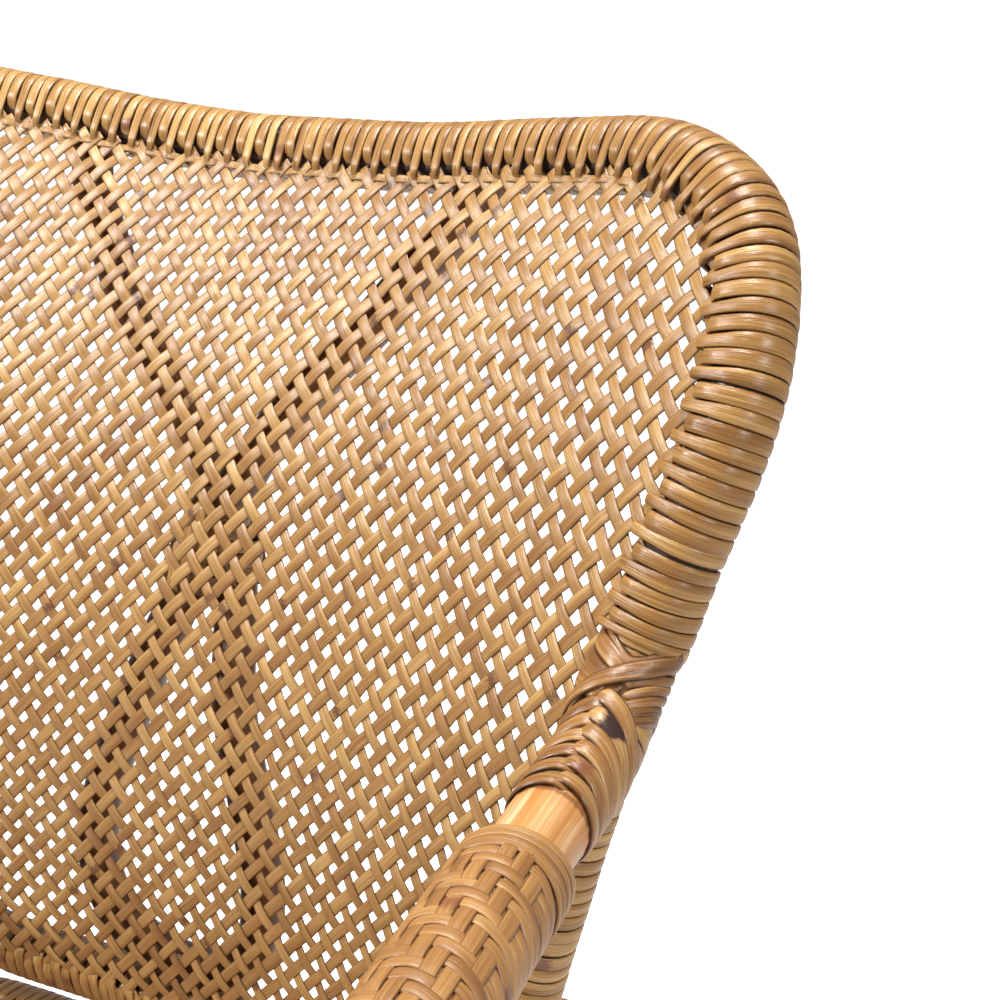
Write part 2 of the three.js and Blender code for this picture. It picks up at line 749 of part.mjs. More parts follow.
const hoopBindingClearances = hoopSpines.map((spine) => {
    const crown = spine.part(0, spine.nearest(armPlace(armShares[0], Math.sign(spine.points[1].x))));
    return pole(crown, poleRadius + caneThickness + gap);
});
addPiece('ribbon_pole', cutBy(
    pole(ribbonSpine, ribbonRadius, thinPoleSides),
    ...hoopBindingClearances,
    lowerClearance,
    backClearance,
), 'pole');

// A lashing at a crossing: the hull of two short pole lengths, less the poles themselves.
function runPoints(spine, middle, reach, radius) {
    const points = [];
    const centre = spine.points[middle];
    const tangent = spine.frames.tangents[middle];
    const normal = spine.frames.normals[middle];
    const binormal = spine.frames.binormals[middle];
    for (const end of [-reach, reach]) {
        for (const ringPoint of ringPoints(radius, radius, poleSides)) {
            points.push(centre.clone()
                .addScaledVector(tangent, end)
                .addScaledVector(normal, ringPoint.x)
                .addScaledVector(binormal, ringPoint.y));
        }
    }
    return points;
}

function lashing(runs, clearances) {
    const points = runs.flatMap(([spine, middle, radius]) => runPoints(spine, middle, lashingReach, radius));
    return largestOf(cutBy(toSolid(new ConvexGeometry(points)), ...clearances, ...screwHoles));
}

const crossingStations = ribbonSpine.points
    .map((point, index) => ({ index, away: Math.hypot(point.x, point.z - crossingHeight) }))
    .sort((a, b) => a.away - b.away);
const frontPass = crossingStations.find(({ index }) => index < ribbonSpine.steps / 2).index;
const rearPass = crossingStations.find(({ index }) => index > ribbonSpine.steps / 2).index;
addPiece('ribbon_crossing_lashing', lashing(
    [
        [ribbonSpine, frontPass, ribbonRadius + lashingThickness],
        [ribbonSpine, rearPass, ribbonRadius + lashingThickness],
    ],
    [pole(ribbonSpine, boreAround(ribbonRadius, thinPoleSides), thinPoleSides), backClearance],
), 'cane');

// Arm covers: woven cane, wider than high, from the bare length of pole to the front bend.
sides.forEach(({ name, sign }, index) => {
    const spine = hoopSpines[index];
    const first = spine.nearest(armPlace(coverStartShare, sign));
    const last = spine.nearest(armPlace(coverEndShare, sign));
    const run = spine.part(first, last).level();
    const cover = sweep(run, armCoverWidth / 2, armCoverHeight / 2, poleSides, boreAround(poleRadius));
    addPiece(`arm_cover_${name}`, cover, 'cane');
});

// Seat ring binding between the legs: two runs at the rear, one on each side and one in front.
// The ring runs from the rear centre round its left side to the front and back by its right side.
const ringSeat = (contact, sign) => mirrored([contact.seat], sign)[0];
const ringStation = (contact, sign, reach = 0) => (
    ringSpine.nearest(ringFine.beyond(ringSeat(contact, sign), reach * sign))
);
const ringSleeve = (first, last) => sleeve(ringSpine.part(first, last), ringOuterRadius, seatPoleRadius + gap);
addPiece('seat_binding_rear_left', ringSleeve(0, ringStation(rearContact, 1, -lashingReach)), 'cane');
addPiece('seat_binding_left', ringSleeve(
    ringStation(rearContact, 1, lashingReach),
    ringStation(frontContact, 1, -lashingReach),
), 'cane');
addPiece('seat_binding_front', ringSleeve(
    ringStation(frontContact, 1, lashingReach),
    ringStation(frontContact, -1, lashingReach),
), 'cane');
addPiece('seat_binding_right', ringSleeve(
    ringStation(frontContact, -1, -lashingReach),
    ringStation(rearContact, -1, lashingReach),
), 'cane');
addPiece('seat_binding_rear_right', ringSleeve(
    ringStation(rearContact, -1, -lashingReach),
    ringSpine.steps,
), 'cane');

// The woven seat, and the slats that carry it.
addPiece('woven_seat', cutBy(seatSheet(weaveThickness, weaveInset), ...seatOpenings), 'weave');

const slatShares = { front: -0.55, middle: -0.02, rear: 0.5 };
const slatTop = seatRingHeight + seatLift - weaveThickness / 2 - gap;

function slatSpine(share) {
    const y = share * seatFrontReach;
    const crossings = ringHalf.slice(1).map((point, index) => [ringHalf[index], point]);
    const [high, low] = crossings.find(([a, b]) => (a.y - y) * (b.y - y) <= 0);
    const reach = THREE.MathUtils.mapLinear(y, high.y, low.y, high.x, low.x);
    const points = [-1, -0.5, 0, 0.5, 1].map((across) => (
        new THREE.Vector3(across * reach, y, slatTop - slatRadius - sagAt(across))
    ));
    return Spine.along(smooth(points)).thinned();
}

for (const [name, share] of Object.entries(slatShares)) {
    const solid = pole(slatSpine(share), slatRadius, thinPoleSides);
    addPiece(`seat_slat_${name}`, cutBy(solid, ringClearance, seatClearance), 'pole');
}

// Lashings where the legs pass the seat ring.
sides.forEach(({ name, sign }, index) => {
    const contacts = [
        ['front', hoopSpines[index], hoopClearances[index], frontContact],
        ['rear', rearSpines[index], rearClearances[index], rearContact],
    ];
    for (const [place, legSpine, legClearance, contact] of contacts) {
        const runs = [
            [legSpine, legSpine.nearest(ringSeat(contact, sign)), poleRadius + lashingThickness],
            [ringSpine, ringStation(contact, sign), ringOuterRadius + lashingThickness],
        ];
        addPiece(`${place}_leg_lashing_${name}`, lashing(runs, [legClearance, ringClearance, seatClearance]), 'cane');
    }
});

// Lashings that hold the rear legs to the lower rim.
sides.forEach(({ name, sign }, index) => {
    const seat = lowerRimSeat(rearLegRimDrop, sign);
    const runs = [
        [rearFines[index], rearFines[index].nearest(seat), poleRadius + lashingThickness],
        [lowerFine, lowerFine.nearest(seat), lowerOuterRadius + lashingThickness],
    ];
    const clearances = [rearClearances[index], lowerClearance, backClearance];
    addPiece(`back_leg_lashing_${name}`, lashing(runs, clearances), 'cane');
});

// Stretchers between the legs.
function strut(from, to, radius, sideCount, bend = new THREE.Vector3()) {
    const middle = new THREE.Vector3().lerpVectors(from, to, 0.5).add(bend);
    const curve = new THREE.QuadraticBezierCurve3(from, middle, to);
    return pole(Spine.along(curve).thinned(), radius, sideCount);
}

const legClearances = [...hoopClearances, ...rearClearances];
sides.forEach(({ name }, index) => {
    const from = hoopSpines[index].atHeight(stretcherHeight);
    const to = rearSpines[index].atHeight(stretcherHeight);
    const solid = cutBy(strut(from, to, stretcherRadius, thinPoleSides), ...legClearances);
    addPiece(`side_stretcher_${name}`, solid, 'pole');
});
[['front', hoopSpines], ['rear', rearSpines]].forEach(([place, spines]) => {
    const [from, to] = spines.map((spine) => spine.atHeight(crossStretcherHeight));
    const solid = cutBy(strut(from, to, stretcherRadius, thinPoleSides), ...legClearances);
    addPiece(`${place}_stretcher`, solid, 'pole');
});

// Corner braces: a short bent pole from each leg up to the ring on both of its sides.
const braceBendShare = 0.45;
sides.forEach(({ name, sign }, index) => {
    const legs = [
        ['front', hoopSpines[index], frontContact, [['cross', 1], ['side', -1]]],
        ['rear', rearSpines[index], rearContact, [['cross', -1], ['side', 1]]],
    ];
    for (const [place, legSpine, contact, runs] of legs) {
        const from = legSpine.atHeight(seatRingHeight - braceReach);
        const corner = legSpine.atHeight(seatRingHeight);
        for (const [run, way] of runs) {
            const to = ringSpine.points[ringStation(contact, sign, way * braceReach)];
            const middle = new THREE.Vector3().lerpVectors(from, to, 0.5);
            const bend = corner.clone().sub(middle).multiplyScalar(braceBendShare);
            const solid = strut(from, to, braceRadius, thinPoleSides, bend);
            const cut = largestOf(cutBy(solid, ringClearance, ...legClearances));
            addPiece(`${place}_${run}_brace_${name}`, cut, 'pole');
        }
    }
});

// Screws and glides.
for (const run of screwRuns) addPiece(run.name, screwBody(run), 'steel');
['front_left', 'front_right', 'rear_left', 'rear_right'].forEach((name, index) => {
    addPiece(`foot_glide_${name}`, toSolid(glideBody(footPlaces[index])), 'glide');
});

// The origin lies under the middle of the chair's length.
const extent = new THREE.Box3().setFromObject(chair);
chair.position.y = -(extent.min.y + extent.max.y) / 2;

export default chair;
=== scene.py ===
import bmesh
import bpy
import numpy as np
from mathutils import Matrix, Vector


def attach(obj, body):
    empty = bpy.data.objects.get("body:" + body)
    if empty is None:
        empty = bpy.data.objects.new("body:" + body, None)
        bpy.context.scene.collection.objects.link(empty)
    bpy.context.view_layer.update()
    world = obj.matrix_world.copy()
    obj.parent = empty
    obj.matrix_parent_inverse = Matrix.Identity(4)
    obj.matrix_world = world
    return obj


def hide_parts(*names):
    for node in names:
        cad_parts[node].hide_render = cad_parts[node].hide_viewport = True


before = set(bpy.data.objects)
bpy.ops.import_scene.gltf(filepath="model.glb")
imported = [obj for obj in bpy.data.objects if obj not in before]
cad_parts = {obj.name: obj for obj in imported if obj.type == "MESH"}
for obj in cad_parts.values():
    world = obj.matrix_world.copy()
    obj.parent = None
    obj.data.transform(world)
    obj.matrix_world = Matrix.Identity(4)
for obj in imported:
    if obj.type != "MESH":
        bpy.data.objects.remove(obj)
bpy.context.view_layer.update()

mm = 0.001
rng = np.random.default_rng(20)

# Driving sizes of the chair, the same as in the CAD model.
chair = {
    "crossing": (0.0, 200.16 * mm, 690 * mm),  # where the ribbon pole crosses itself
    "backHalfWidth": 285 * mm,
    "backRise": 195 * mm,
    "backDrop": 241 * mm,
    "backLeanShare": 0.3,
    "backFlareRadius": 660 * mm,
    "backHollowRadius": 625 * mm,
    "shoulderTilt": 0.04,
    "armHalfWidth": 317 * mm,
    "armReach": 462 * mm,
    "armFall": 200 * mm,
    "weaveLift": 15 * mm,
    "poleRadius": 15 * mm,
    "lowerRimRadius": 13.5 * mm,
    "seatPoleRadius": 13 * mm,
    "ribbonRadius": 11 * mm,
    "gap": 0.3 * mm,
}
originShift = -28.84 * mm  # the CAD plan's middle lies this far from the box's middle

upperRimShares = [
    (0, 0.947), (0.306, 0.963), (0.586, 1.005), (0.804, 1.022), (0.956, 0.917), (1.005, 0.704),
    (1, 0.534), (0.952, 0.256), (0.93, 0.075),
]
lowerRimShares = [
    (0.905, 0.034), (0.885, -0.059), (0.845, -0.246), (0.8, -0.46), (0.745, -0.685), (0.65, -0.865),
    (0.455, -0.975), (0.21, -0.998), (0, -1),
]
armShares = [
    (0.836, 0.172, 0.03), (0.838, 0.225, 0.075), (0.846, 0.281, 0.095), (0.863, 0.341, 0.1),
    (0.896, 0.432, 0.095), (0.93, 0.53, 0.095), (0.962, 0.645, 0.11), (0.984, 0.755, 0.145),
    (0.996, 0.855, 0.21), (1, 0.935, 0.34), (0.993, 0.983, 0.57), (0.98, 1.005, 0.87),
]
coverPoints = {"start": 3, "end": 8}  # the arm's points between which its woven cover lies


# Vectors

def unit(vectors):
    # Each vector over its length.
    return vectors / np.maximum(np.linalg.norm(vectors, axis=-1, keepdims=True), 1e-12)


def dot(a, b):
    # The sum of the products of each pair of vectors.
    return (a * b).sum(-1, keepdims=True)


def upwards(places):
    # Straight up at every place.
    return np.broadcast_to([0.0, 0.0, 1.0], places.shape)


def squareTo(vectors, tangents):
    # What is left of each vector once its part along the tangent is taken away, at unit length.
    return unit(vectors - dot(vectors, tangents) * tangents)


def runningSum(steps):
    # Nought, then the sum of the steps up to each.
    return np.concatenate([[0], np.cumsum(steps)])


def runLengths(points):
    # The distance along a row of points, counted from its first.
    return runningSum(np.linalg.norm(np.diff(points, axis=0), axis=1))


def readAt(marks, places, rows):
    # The columns of a table at marks between the places where its rows stand.
    return np.stack([np.interp(marks, places, column) for column in rows.T], -1)


def bellMean(padded, reach, width):
    # A bell-weighted moving mean of rows that go on by the reach at both ends.
    weights = np.exp(-0.5 * (np.arange(-reach, reach + 1) / width) ** 2)
    weights /= weights.sum()
    return np.stack([np.convolve(column, weights, "valid") for column in padded.T], -1)


class Path:
    # A smooth curve kept as closely spaced points and read by its arc length.
    def __init__(self, points, soften=0.0, spacing=1.0 * mm):
        dense = centripetal(np.asarray(points, float))
        self.points = evenly(dense, spacing)
        if soften:
            self.points = softened(self.points, soften / spacing)
        self.lengths = runLengths(self.points)
        self.total = self.lengths[-1]

    def at(self, s):
        # Places before the start or past the end carry on in a straight line.
        inside = np.clip(s, 0, self.total)
        place = readAt(inside, self.lengths, self.points)
        first = unit(self.points[1] - self.points[0])
        last = unit(self.points[-1] - self.points[-2])
        before = np.minimum(s, 0)[..., None] * first
        after = np.maximum(s - self.total, 0)[..., None] * last
        return place + before + after

    def tangent(self, s, reach=2.0 * mm):
        return unit(self.at(s + reach) - self.at(s - reach))

    def spot(self, s):
        # The place and the direction at one arc length.
        s = np.array([s])
        return self.at(s)[0], self.tangent(s)[0]

    def bend(self, s, reach=6.0 * mm):
        # Change of direction for each metre, pointing to the inside of the bend.
        return (self.tangent(s + reach) - self.tangent(s - reach)) / (2 * reach)

    def nearest(self, place, before=1.0):
        # The arc length of the closest point, looked for in the first share of the path.
        searched = self.points[:int(len(self.points) * before)]
        away = np.linalg.norm(searched - np.asarray(place), axis=1)
        return self.lengths[int(away.argmin())]


def centripetal(points, perSpan=60):
    # Catmull-Rom spline through the points, its knots spaced by the root of each chord.
    ends = [2 * points[0] - points[1]], [2 * points[-1] - points[-2]]
    p = np.concatenate([ends[0], points, ends[1]])
    knots = runningSum(np.linalg.norm(np.diff(p, axis=0), axis=1) ** 0.5)
    share = np.linspace(0, 1, perSpan, endpoint=False)
    index = np.arange(1, len(p) - 2)[:, None]
    t = knots[index] + share * (knots[index + 1] - knots[index])

    def between(a, b, low, high):
        w = ((t - low) / (high - low))[..., None]
        return a * (1 - w) + b * w

    p0, p1, p2, p3 = (p[index + k] for k in (-1, 0, 1, 2))
    t0, t1, t2, t3 = (knots[index + k] for k in (-1, 0, 1, 2))
    a1, a2, a3 = between(p0, p1, t0, t1), between(p1, p2, t1, t2), between(p2, p3, t2, t3)
    b1, b2 = between(a1, a2, t0, t2), between(a2, a3, t1, t3)
    return np.concatenate([between(b1, b2, t1, t2).reshape(-1, points.shape[1]), points[-1:]])


def evenly(points, spacing):
    # Places at equal steps along a row of points.
    lengths = runLengths(points)
    count = max(2, int(round(lengths[-1] / spacing)) + 1)
    return readAt(np.linspace(0, lengths[-1], count), lengths, points)


def softened(points, width):
    # The moving mean of a row of points, with its ends carried on in a straight line.
    reach = int(3 * width)
    steps = np.arange(1, reach + 1)[:, None]
    before = points[0] - steps[::-1] * (points[1] - points[0])
    after = points[-1] + steps * (points[-1] - points[-2])
    return bellMean(np.concatenate([before, points, after]), reach, width)


# Places on the chair

def backPoint(x, z, behind=0.0):
    # The back is a saddle: depth = lean * z + z * z / (2 * flare) - x * x / (2 * hollow).
    x, z = np.asarray(x, float), np.asarray(z, float)
    lean, flare, hollow = chair["backLeanShare"], chair["backFlareRadius"], chair["backHollowRadius"]
    depth = lean * z + z * z / (2 * flare) - x * x / (2 * hollow)
    rear = unit(np.stack([x / hollow, np.ones_like(x), -(lean + z / flare)], -1))
    place = np.stack([x, depth, z], -1) + np.array(chair["crossing"])
    return place + rear * np.asarray(behind)[..., None]


def backFront(places):
    # The direction that the back faces at places on or near it.
    local = places - np.array(chair["crossing"])
    x, z = local[..., 0], local[..., 2]
    slopeX = x / chair["backHollowRadius"]
    slopeZ = chair["backLeanShare"] + z / chair["backFlareRadius"]
    return unit(np.stack([-slopeX, -np.ones_like(x), slopeZ], -1))


def mirrored(points, sign):
    # x times the sign, which is 1 on the left and -1 on the right.
    return np.asarray(points) * np.array([sign, 1, 1])


def armPoint(share):
    # From the crossing: out, forwards and down by shares of the arm's half width, reach and fall.
    across, forward, down = share
    x, y, z = chair["crossing"]
    return np.array([across * chair["armHalfWidth"], y - forward * chair["armReach"], z - down * chair["armFall"]])


def upperRim(sign):
    # One side's half of the upper rim. The right shoulder, on side -1, stands higher.
    half, rise = chair["backHalfWidth"], chair["backRise"]
    return [(a * half, b * (rise - sign * chair["shoulderTilt"] * a * half)) for a, b in upperRimShares]


lowerRim = [(a * chair["backHalfWidth"], b * chair["backDrop"]) for a, b in lowerRimShares]


# Meshes

caneProfile = np.array([  # across and up, round the strand from its under side
    (-0.92, 0.0), (0.92, 0.0), (1.0, 0.45), (0.8, 0.86), (0.35, 0.985), (-0.35, 0.985), (-0.8, 0.86), (-1.0, 0.45),
])
roundedProfile = np.array([
    (-0.88, 0.0), (0.88, 0.0), (1.0, 0.42), (0.6, 0.86), (0.0, 1.0), (-0.6, 0.86), (-1.0, 0.42),
])


def meshFrom(name, vertices, quads, caps, marks):
    # Quads and capping polygons from arrays of vertex numbers; marks are values kept at each vertex.
    loops = np.concatenate([quads.ravel(), caps.ravel()]).astype(np.int32)
    sizes = np.concatenate([np.full(len(quads), 4), np.full(len(caps), caps.shape[1] if len(caps) else 0)])
    starts = runningSum(sizes[:-1]).astype(np.int32)
    mesh = bpy.data.meshes.new(name)
    mesh.vertices.add(len(vertices))
    mesh.vertices.foreach_set("co", vertices.astype(np.float32).ravel())
    mesh.loops.add(len(loops))
    mesh.loops.foreach_set("vertex_index", loops)
    mesh.polygons.add(len(sizes))
    mesh.polygons.foreach_set("loop_start", starts)
    smooth = np.zeros(len(sizes), bool)
    smooth[:len(quads)] = True
    mesh.polygons.foreach_set("use_smooth", smooth)
    for key, values in marks.items():
        layer = mesh.attributes.new(key, "FLOAT", "POINT")
        layer.data.foreach_set("value", values.astype(np.float32).ravel())
    mesh.update(calc_edges=True)
    mesh.validate()
    piece = bpy.data.objects.new(name, mesh)
    bpy.context.scene.collection.objects.link(piece)
    return piece


def ringQuads(first, sides):
    # Faces between each ring of vertices and the next, from the number of each ring's first vertex.
    near = np.arange(sides)
    far = (near + 1) % sides
    return np.stack([first + near, first + far, first + sides + far, first + sides + near], -1).reshape(-1, 4)


def tubeFaces(count, sides):
    # One closed tube: quads between its rings, and a polygon over each end.
    near = np.arange(sides)
    quads = ringQuads(np.arange(count - 1)[:, None] * sides, sides)
    return quads, np.stack([near[::-1], (count - 1) * sides + near])


def sweptMesh(name, centres, ups, strand, halfWidths, thickness, seeds, profile=caneProfile, burn=None):
    # A section carried along many strands at once: each vertex is its station's centre, plus the
    # section's across times the half width sideways, plus its up times the thickness upwards.
    count, sides = len(centres), len(profile)
    joined = strand[1:] == strand[:-1]
    steps = np.where(joined[:, None], np.diff(centres, axis=0), 0)
    forward = np.concatenate([steps, np.zeros((1, 3))])
    backward = np.concatenate([np.zeros((1, 3)), steps])
    tangents = unit(unit(forward) + unit(backward))
    across = unit(np.cross(ups, tangents))
    lifted = np.cross(tangents, across)
    halfWidths = np.broadcast_to(halfWidths, count)
    thickness = np.broadcast_to(thickness, count)
    sideways = across[:, None] * (halfWidths[:, None] * profile[:, 0])[..., None]
    upwards = lifted[:, None] * (thickness[:, None] * profile[:, 1])[..., None]
    vertices = (centres[:, None] + sideways + upwards).reshape(-1, 3)
    near = np.arange(sides)
    quads = ringQuads(np.nonzero(joined)[0][:, None] * sides, sides)
    begins = np.nonzero(np.concatenate([[True], ~joined]))[0][:, None] * sides
    ends = np.nonzero(np.concatenate([~joined, [True]]))[0][:, None] * sides
    caps = np.concatenate([begins + near[::-1], ends + near])
    lengths = runningSum(np.linalg.norm(steps, axis=1))
    starts = lengths[begins[:, 0] // sides]
    along = lengths - starts[runningSum(~joined)]
    marks = {
        "along": np.repeat(along, sides),
        "across": np.tile(profile[:, 0], count),
        "seed": np.repeat(np.broadcast_to(seeds, count), sides),
    }
    if burn is not None:
        marks["burn"] = np.repeat(burn, sides)
    return meshFrom(name, vertices, quads, caps, marks)


def roundProfile(sides):
    # Cosine and sine of equal angles.
    angles = np.linspace(0, 2 * np.pi, sides, endpoint=False)
    return np.stack([np.cos(angles), np.sin(angles)], -1)


def poleMesh(name, path, radius, seed, start=0.0, end=None, spacing=4 * mm, sides=20, hiddenTo=None):
    # A round pole along a path, a little thicker at its nodes. Where windings cover it, it is painted darker,
    # as painted shade for the shadow seen between turns. It is a little thinner than its CAD solid, so that what is
    # wound on it lies on top.
    radius = radius - poleLook["thinnerBy"]
    end = path.total if end is None else end
    s = np.linspace(start, end, max(3, int((end - start) / spacing)))
    centres = path.at(s)
    tangents = path.tangent(s)
    ups = squareTo(carriedUp(tangents), tangents)
    across = np.cross(ups, tangents)
    nodeEvery = poleLook["nodeEvery"]
    toNode = (s / nodeEvery + seed * poleLook["nodeShift"] + 0.5) % 1 - 0.5
    swell = 1 + poleLook["nodeSwell"] * np.exp(-0.5 * (toNode * nodeEvery / poleLook["nodeWide"]) ** 2)
    profile = roundProfile(sides)
    ring = across[:, None] * profile[:, :1] + ups[:, None] * profile[:, 1:]
    vertices = (centres[:, None] + ring * (radius * swell)[:, None, None]).reshape(-1, 3)
    count = len(s)
    turn = np.tile(profile, (count, 1))
    marks = {
        "along": np.repeat(s, sides),
        "turnX": turn[:, 0],
        "turnY": turn[:, 1],
        "toNode": np.repeat(toNode * nodeEvery, sides),
        "seed": np.full(count * sides, seed),
    }
    if hiddenTo is not None:
        marks["hidden"] = np.repeat(np.clip((hiddenTo - s) / (4 * mm), 0, 1), sides)
    return meshFrom(name, vertices, *tubeFaces(count, sides), marks)


def carriedUp(tangents):
    # A direction carried along the path without twisting, by taking out each step's tangent part.
    up = np.array([0.0, 0.0, 1.0]) if abs(tangents[0][2]) < 0.9 else np.array([0.0, -1.0, 0.0])
    ups = []
    for tangent in tangents:
        up = up - (up @ tangent) * tangent
        up = up / np.linalg.norm(up)
        ups.append(up)
    return np.array(ups)


# Materials

def tone(red, green, blue):
    # A colour seen on a screen, from 0 to 255, as the linear light that a shader takes.
    seen = np.array([red, green, blue]) / 255
    linear = np.where(seen <= 0.04045, seen / 12.92, ((seen + 0.055) / 1.055) ** 2.4)
    return (*linear, 1.0)


class Shader:
    # Short words for building a material's nodes.
    def __init__(self, name):
        self.material = bpy.data.materials.new(name)
        self.material.use_nodes = True
        self.tree = self.material.node_tree
        self.surface = self.tree.nodes["Principled BSDF"]

    def node(self, kind, inputs=(), **settings):
        made = self.tree.nodes.new(kind)
        for key, value in settings.items():
            setattr(made, key, value)
        for key, value in dict(inputs).items():
            self.feed(made.inputs[key], value)
        return made

    def feed(self, socket, value):
        if isinstance(value, bpy.types.NodeSocket):
            self.tree.links.new(value, socket)
        else:
            socket.default_value = value

    def mark(self, name):
        return self.node("ShaderNodeAttribute", attribute_name=name).outputs["Fac"]

    def sum(self, operation, a, b=0.0, c=0.0):
        return self.node("ShaderNodeMath", {0: a, 1: b, 2: c}, operation=operation).outputs[0]

    def times(self, a, b):
        return self.sum("MULTIPLY", a, b)

    def swing(self, value, size):
        # A value round one half, made one round nought.
        return self.times(self.sum("SUBTRACT", value, 0.5), size)

    def vector(self, x, y, z):
        return self.node("ShaderNodeCombineXYZ", {0: x, 1: y, 2: z}).outputs[0]

    def noise(self, vector, scale=1.0, detail=2.0, rough=0.5):
        inputs = {"Vector": vector, "Scale": scale, "Detail": detail, "Roughness": rough}
        return self.node("ShaderNodeTexNoise", inputs).outputs["Fac"]

    def chance(self, vector):
        return self.node("ShaderNodeTexWhiteNoise", {"Vector": vector}).outputs["Value"]

    def mapped(self, value, low, high, toLow=0.0, toHigh=1.0, kind="SMOOTHSTEP"):
        inputs = {"Value": value, "From Min": low, "From Max": high, "To Min": toLow, "To Max": toHigh}
        return self.node("ShaderNodeMapRange", inputs, interpolation_type=kind).outputs["Result"]

    def mix(self, share, a, b):
        made = self.node("ShaderNodeMix", data_type="RGBA")
        self.feed(made.inputs["Factor"], share)
        self.feed(made.inputs[6], a)
        self.feed(made.inputs[7], b)
        return made.outputs[2]

    def ramp(self, value, places, colours):
        made = self.node("ShaderNodeValToRGB", {"Fac": value})
        points = made.color_ramp.elements
        while len(points) < len(places):
            points.new(1.0)
        for point, place, colour in zip(points, places, colours):
            point.position = place
            point.color = colour
        return made.outputs["Color"]

    def finish(self, colour, roughness, height, distance, strength):
        # The surface's colour and roughness, and a bump from a height.
        inputs = {"Height": height, "Distance": distance, "Strength": strength}
        self.feed(self.surface.inputs["Base Color"], colour)
        self.feed(self.surface.inputs["Roughness"], roughness)
        self.feed(self.surface.inputs["Normal"], self.node("ShaderNodeBump", inputs).outputs["Normal"])
        return self.material

    def roughnessBy(self, grain, look):
        # Roughness between the look's smoothest and roughest, by a grain.
        return self.mapped(grain, 0.2, 0.8, look["roughness"] - look["smoother"], look["roughness"] + look["rougher"])

    def coat(self, look):
        self.surface.inputs["Coat Weight"].default_value = look["coat"]
        self.surface.inputs["Coat Roughness"].default_value = look["coatRoughness"]


caneLook = {
    "dark": tone(138, 92, 50),
    "middle": tone(168, 124, 68),
    "light": tone(202, 161, 99),
    "toneAt": (0.15, 0.5, 0.85),
    "toneSpread": 0.18,
    "fibres": (22.0, 3.0),  # grains: changes in a metre along the strand, and in a half width across
    "patches": (9.0, 0.4),
    "ragged": (500.0, 2.5),
    "fine": (60.0, 5.0),
    "fibreShare": 0.9,
    "patchShare": 1.1,
    # edge is the colour of painted shade along each strand's sides, for the shadow where strands meet and cross
    "edge": tone(92, 56, 30),
    "edgeShadeFrom": 0.8,
    "edgeShadeShare": 0.8,
    "node": tone(88, 44, 26),
    "nodeHalf": 0.003,
    "nodeCore": 0.3,
    "nodeDepth": 0.85,
    "nodeEvery": 0.23,
    "nodeShare": 0.55,
    "nodePlaces": (0.12, 0.88),
    "nodeRagged": 0.007,
    "burnt": tone(48, 17, 5),
    "burnRagged": 0.7,
    "burnSlant": 0.22,
    "burnRange": (0.3, 0.7),
    "burnRoughness": 0.55,
    "roughness": 0.36,
    "smoother": 0.07,
    "rougher": 0.1,
    "coat": 0.16,
    "coatRoughness": 0.28,
    "bump": (0.0006, 0.6),  # distance and strength
    "seedShift": 91.7,
    "cellShift": 17.0,
}


def caneMaterial(name, look):
    # Glossy cane skin: a tone for each strand, long fibres, painted shade that darkens each strand towards its edges,
    # and brown growth nodes.
    sh = Shader(name)
    along, across, seed = sh.mark("along"), sh.mark("across"), sh.mark("seed")
    shifted = sh.times(seed, look["seedShift"])

    def drawnOut(kind, **settings):
        # Noise drawn out along the strand.
        lengthwise, sideways = look[kind]
        return sh.noise(sh.vector(sh.times(along, lengthwise), sh.times(across, sideways), shifted), **settings)

    fibres = drawnOut("fibres", detail=3.0, rough=0.6)
    patches = drawnOut("patches", detail=1.0)
    strandTone = sh.chance(sh.vector(shifted, 0.37, 0.11))
    level = sh.sum("MULTIPLY_ADD", strandTone, look["toneSpread"], 0.5 - look["toneSpread"] / 2)
    level = sh.sum("ADD", level, sh.swing(patches, look["patchShare"]))
    level = sh.sum("ADD", level, sh.swing(fibres, look["fibreShare"]))
    colour = sh.ramp(level, look["toneAt"], (look["dark"], look["middle"], look["light"]))
    # Painted shade: the colour goes towards the edge colour near the strand's sides, standing in for the shadow
    # between neighbouring strands.
    rim = sh.mapped(sh.sum("ABSOLUTE", across), look["edgeShadeFrom"], 1.0)
    colour = sh.mix(sh.times(rim, look["edgeShadeShare"]), colour, look["edge"])
    # A growth node now and then: a short brown patch with a ragged edge.
    cells = sh.sum("ADD", sh.sum("DIVIDE", along, look["nodeEvery"]), sh.times(seed, look["cellShift"]))
    cell = sh.sum("FLOOR", cells)
    place = sh.mapped(sh.chance(sh.vector(cell, shifted, 0.5)), 0.0, 1.0, *look["nodePlaces"], "LINEAR")
    there = sh.sum("LESS_THAN", sh.chance(sh.vector(cell, shifted, 4.5)), look["nodeShare"])
    away = sh.sum("ABSOLUTE", sh.sum("SUBTRACT", sh.sum("FRACT", cells), place))
    ragged = drawnOut("ragged", detail=2.0)
    apart = sh.sum("ADD", sh.times(away, look["nodeEvery"]), sh.swing(ragged, look["nodeRagged"]))
    brown = sh.mapped(apart, look["nodeCore"] * look["nodeHalf"], look["nodeHalf"], look["nodeDepth"], 0.0)
    colour = sh.mix(sh.times(brown, there), colour, look["node"])
    # The burnt mark, whose edge is ragged and slants across the strand.
    burning = sh.sum("ADD", sh.mark("burn"), sh.swing(ragged, look["burnRagged"]))
    burning = sh.mapped(sh.sum("MULTIPLY_ADD", across, look["burnSlant"], burning), *look["burnRange"])
    colour = sh.mix(burning, colour, look["burnt"])
    roughness = sh.sum("MULTIPLY_ADD", burning, look["burnRoughness"], sh.roughnessBy(fibres, look))
    sh.coat(look)
    return sh.finish(colour, roughness, drawnOut("fine", detail=3.0), *look["bump"])


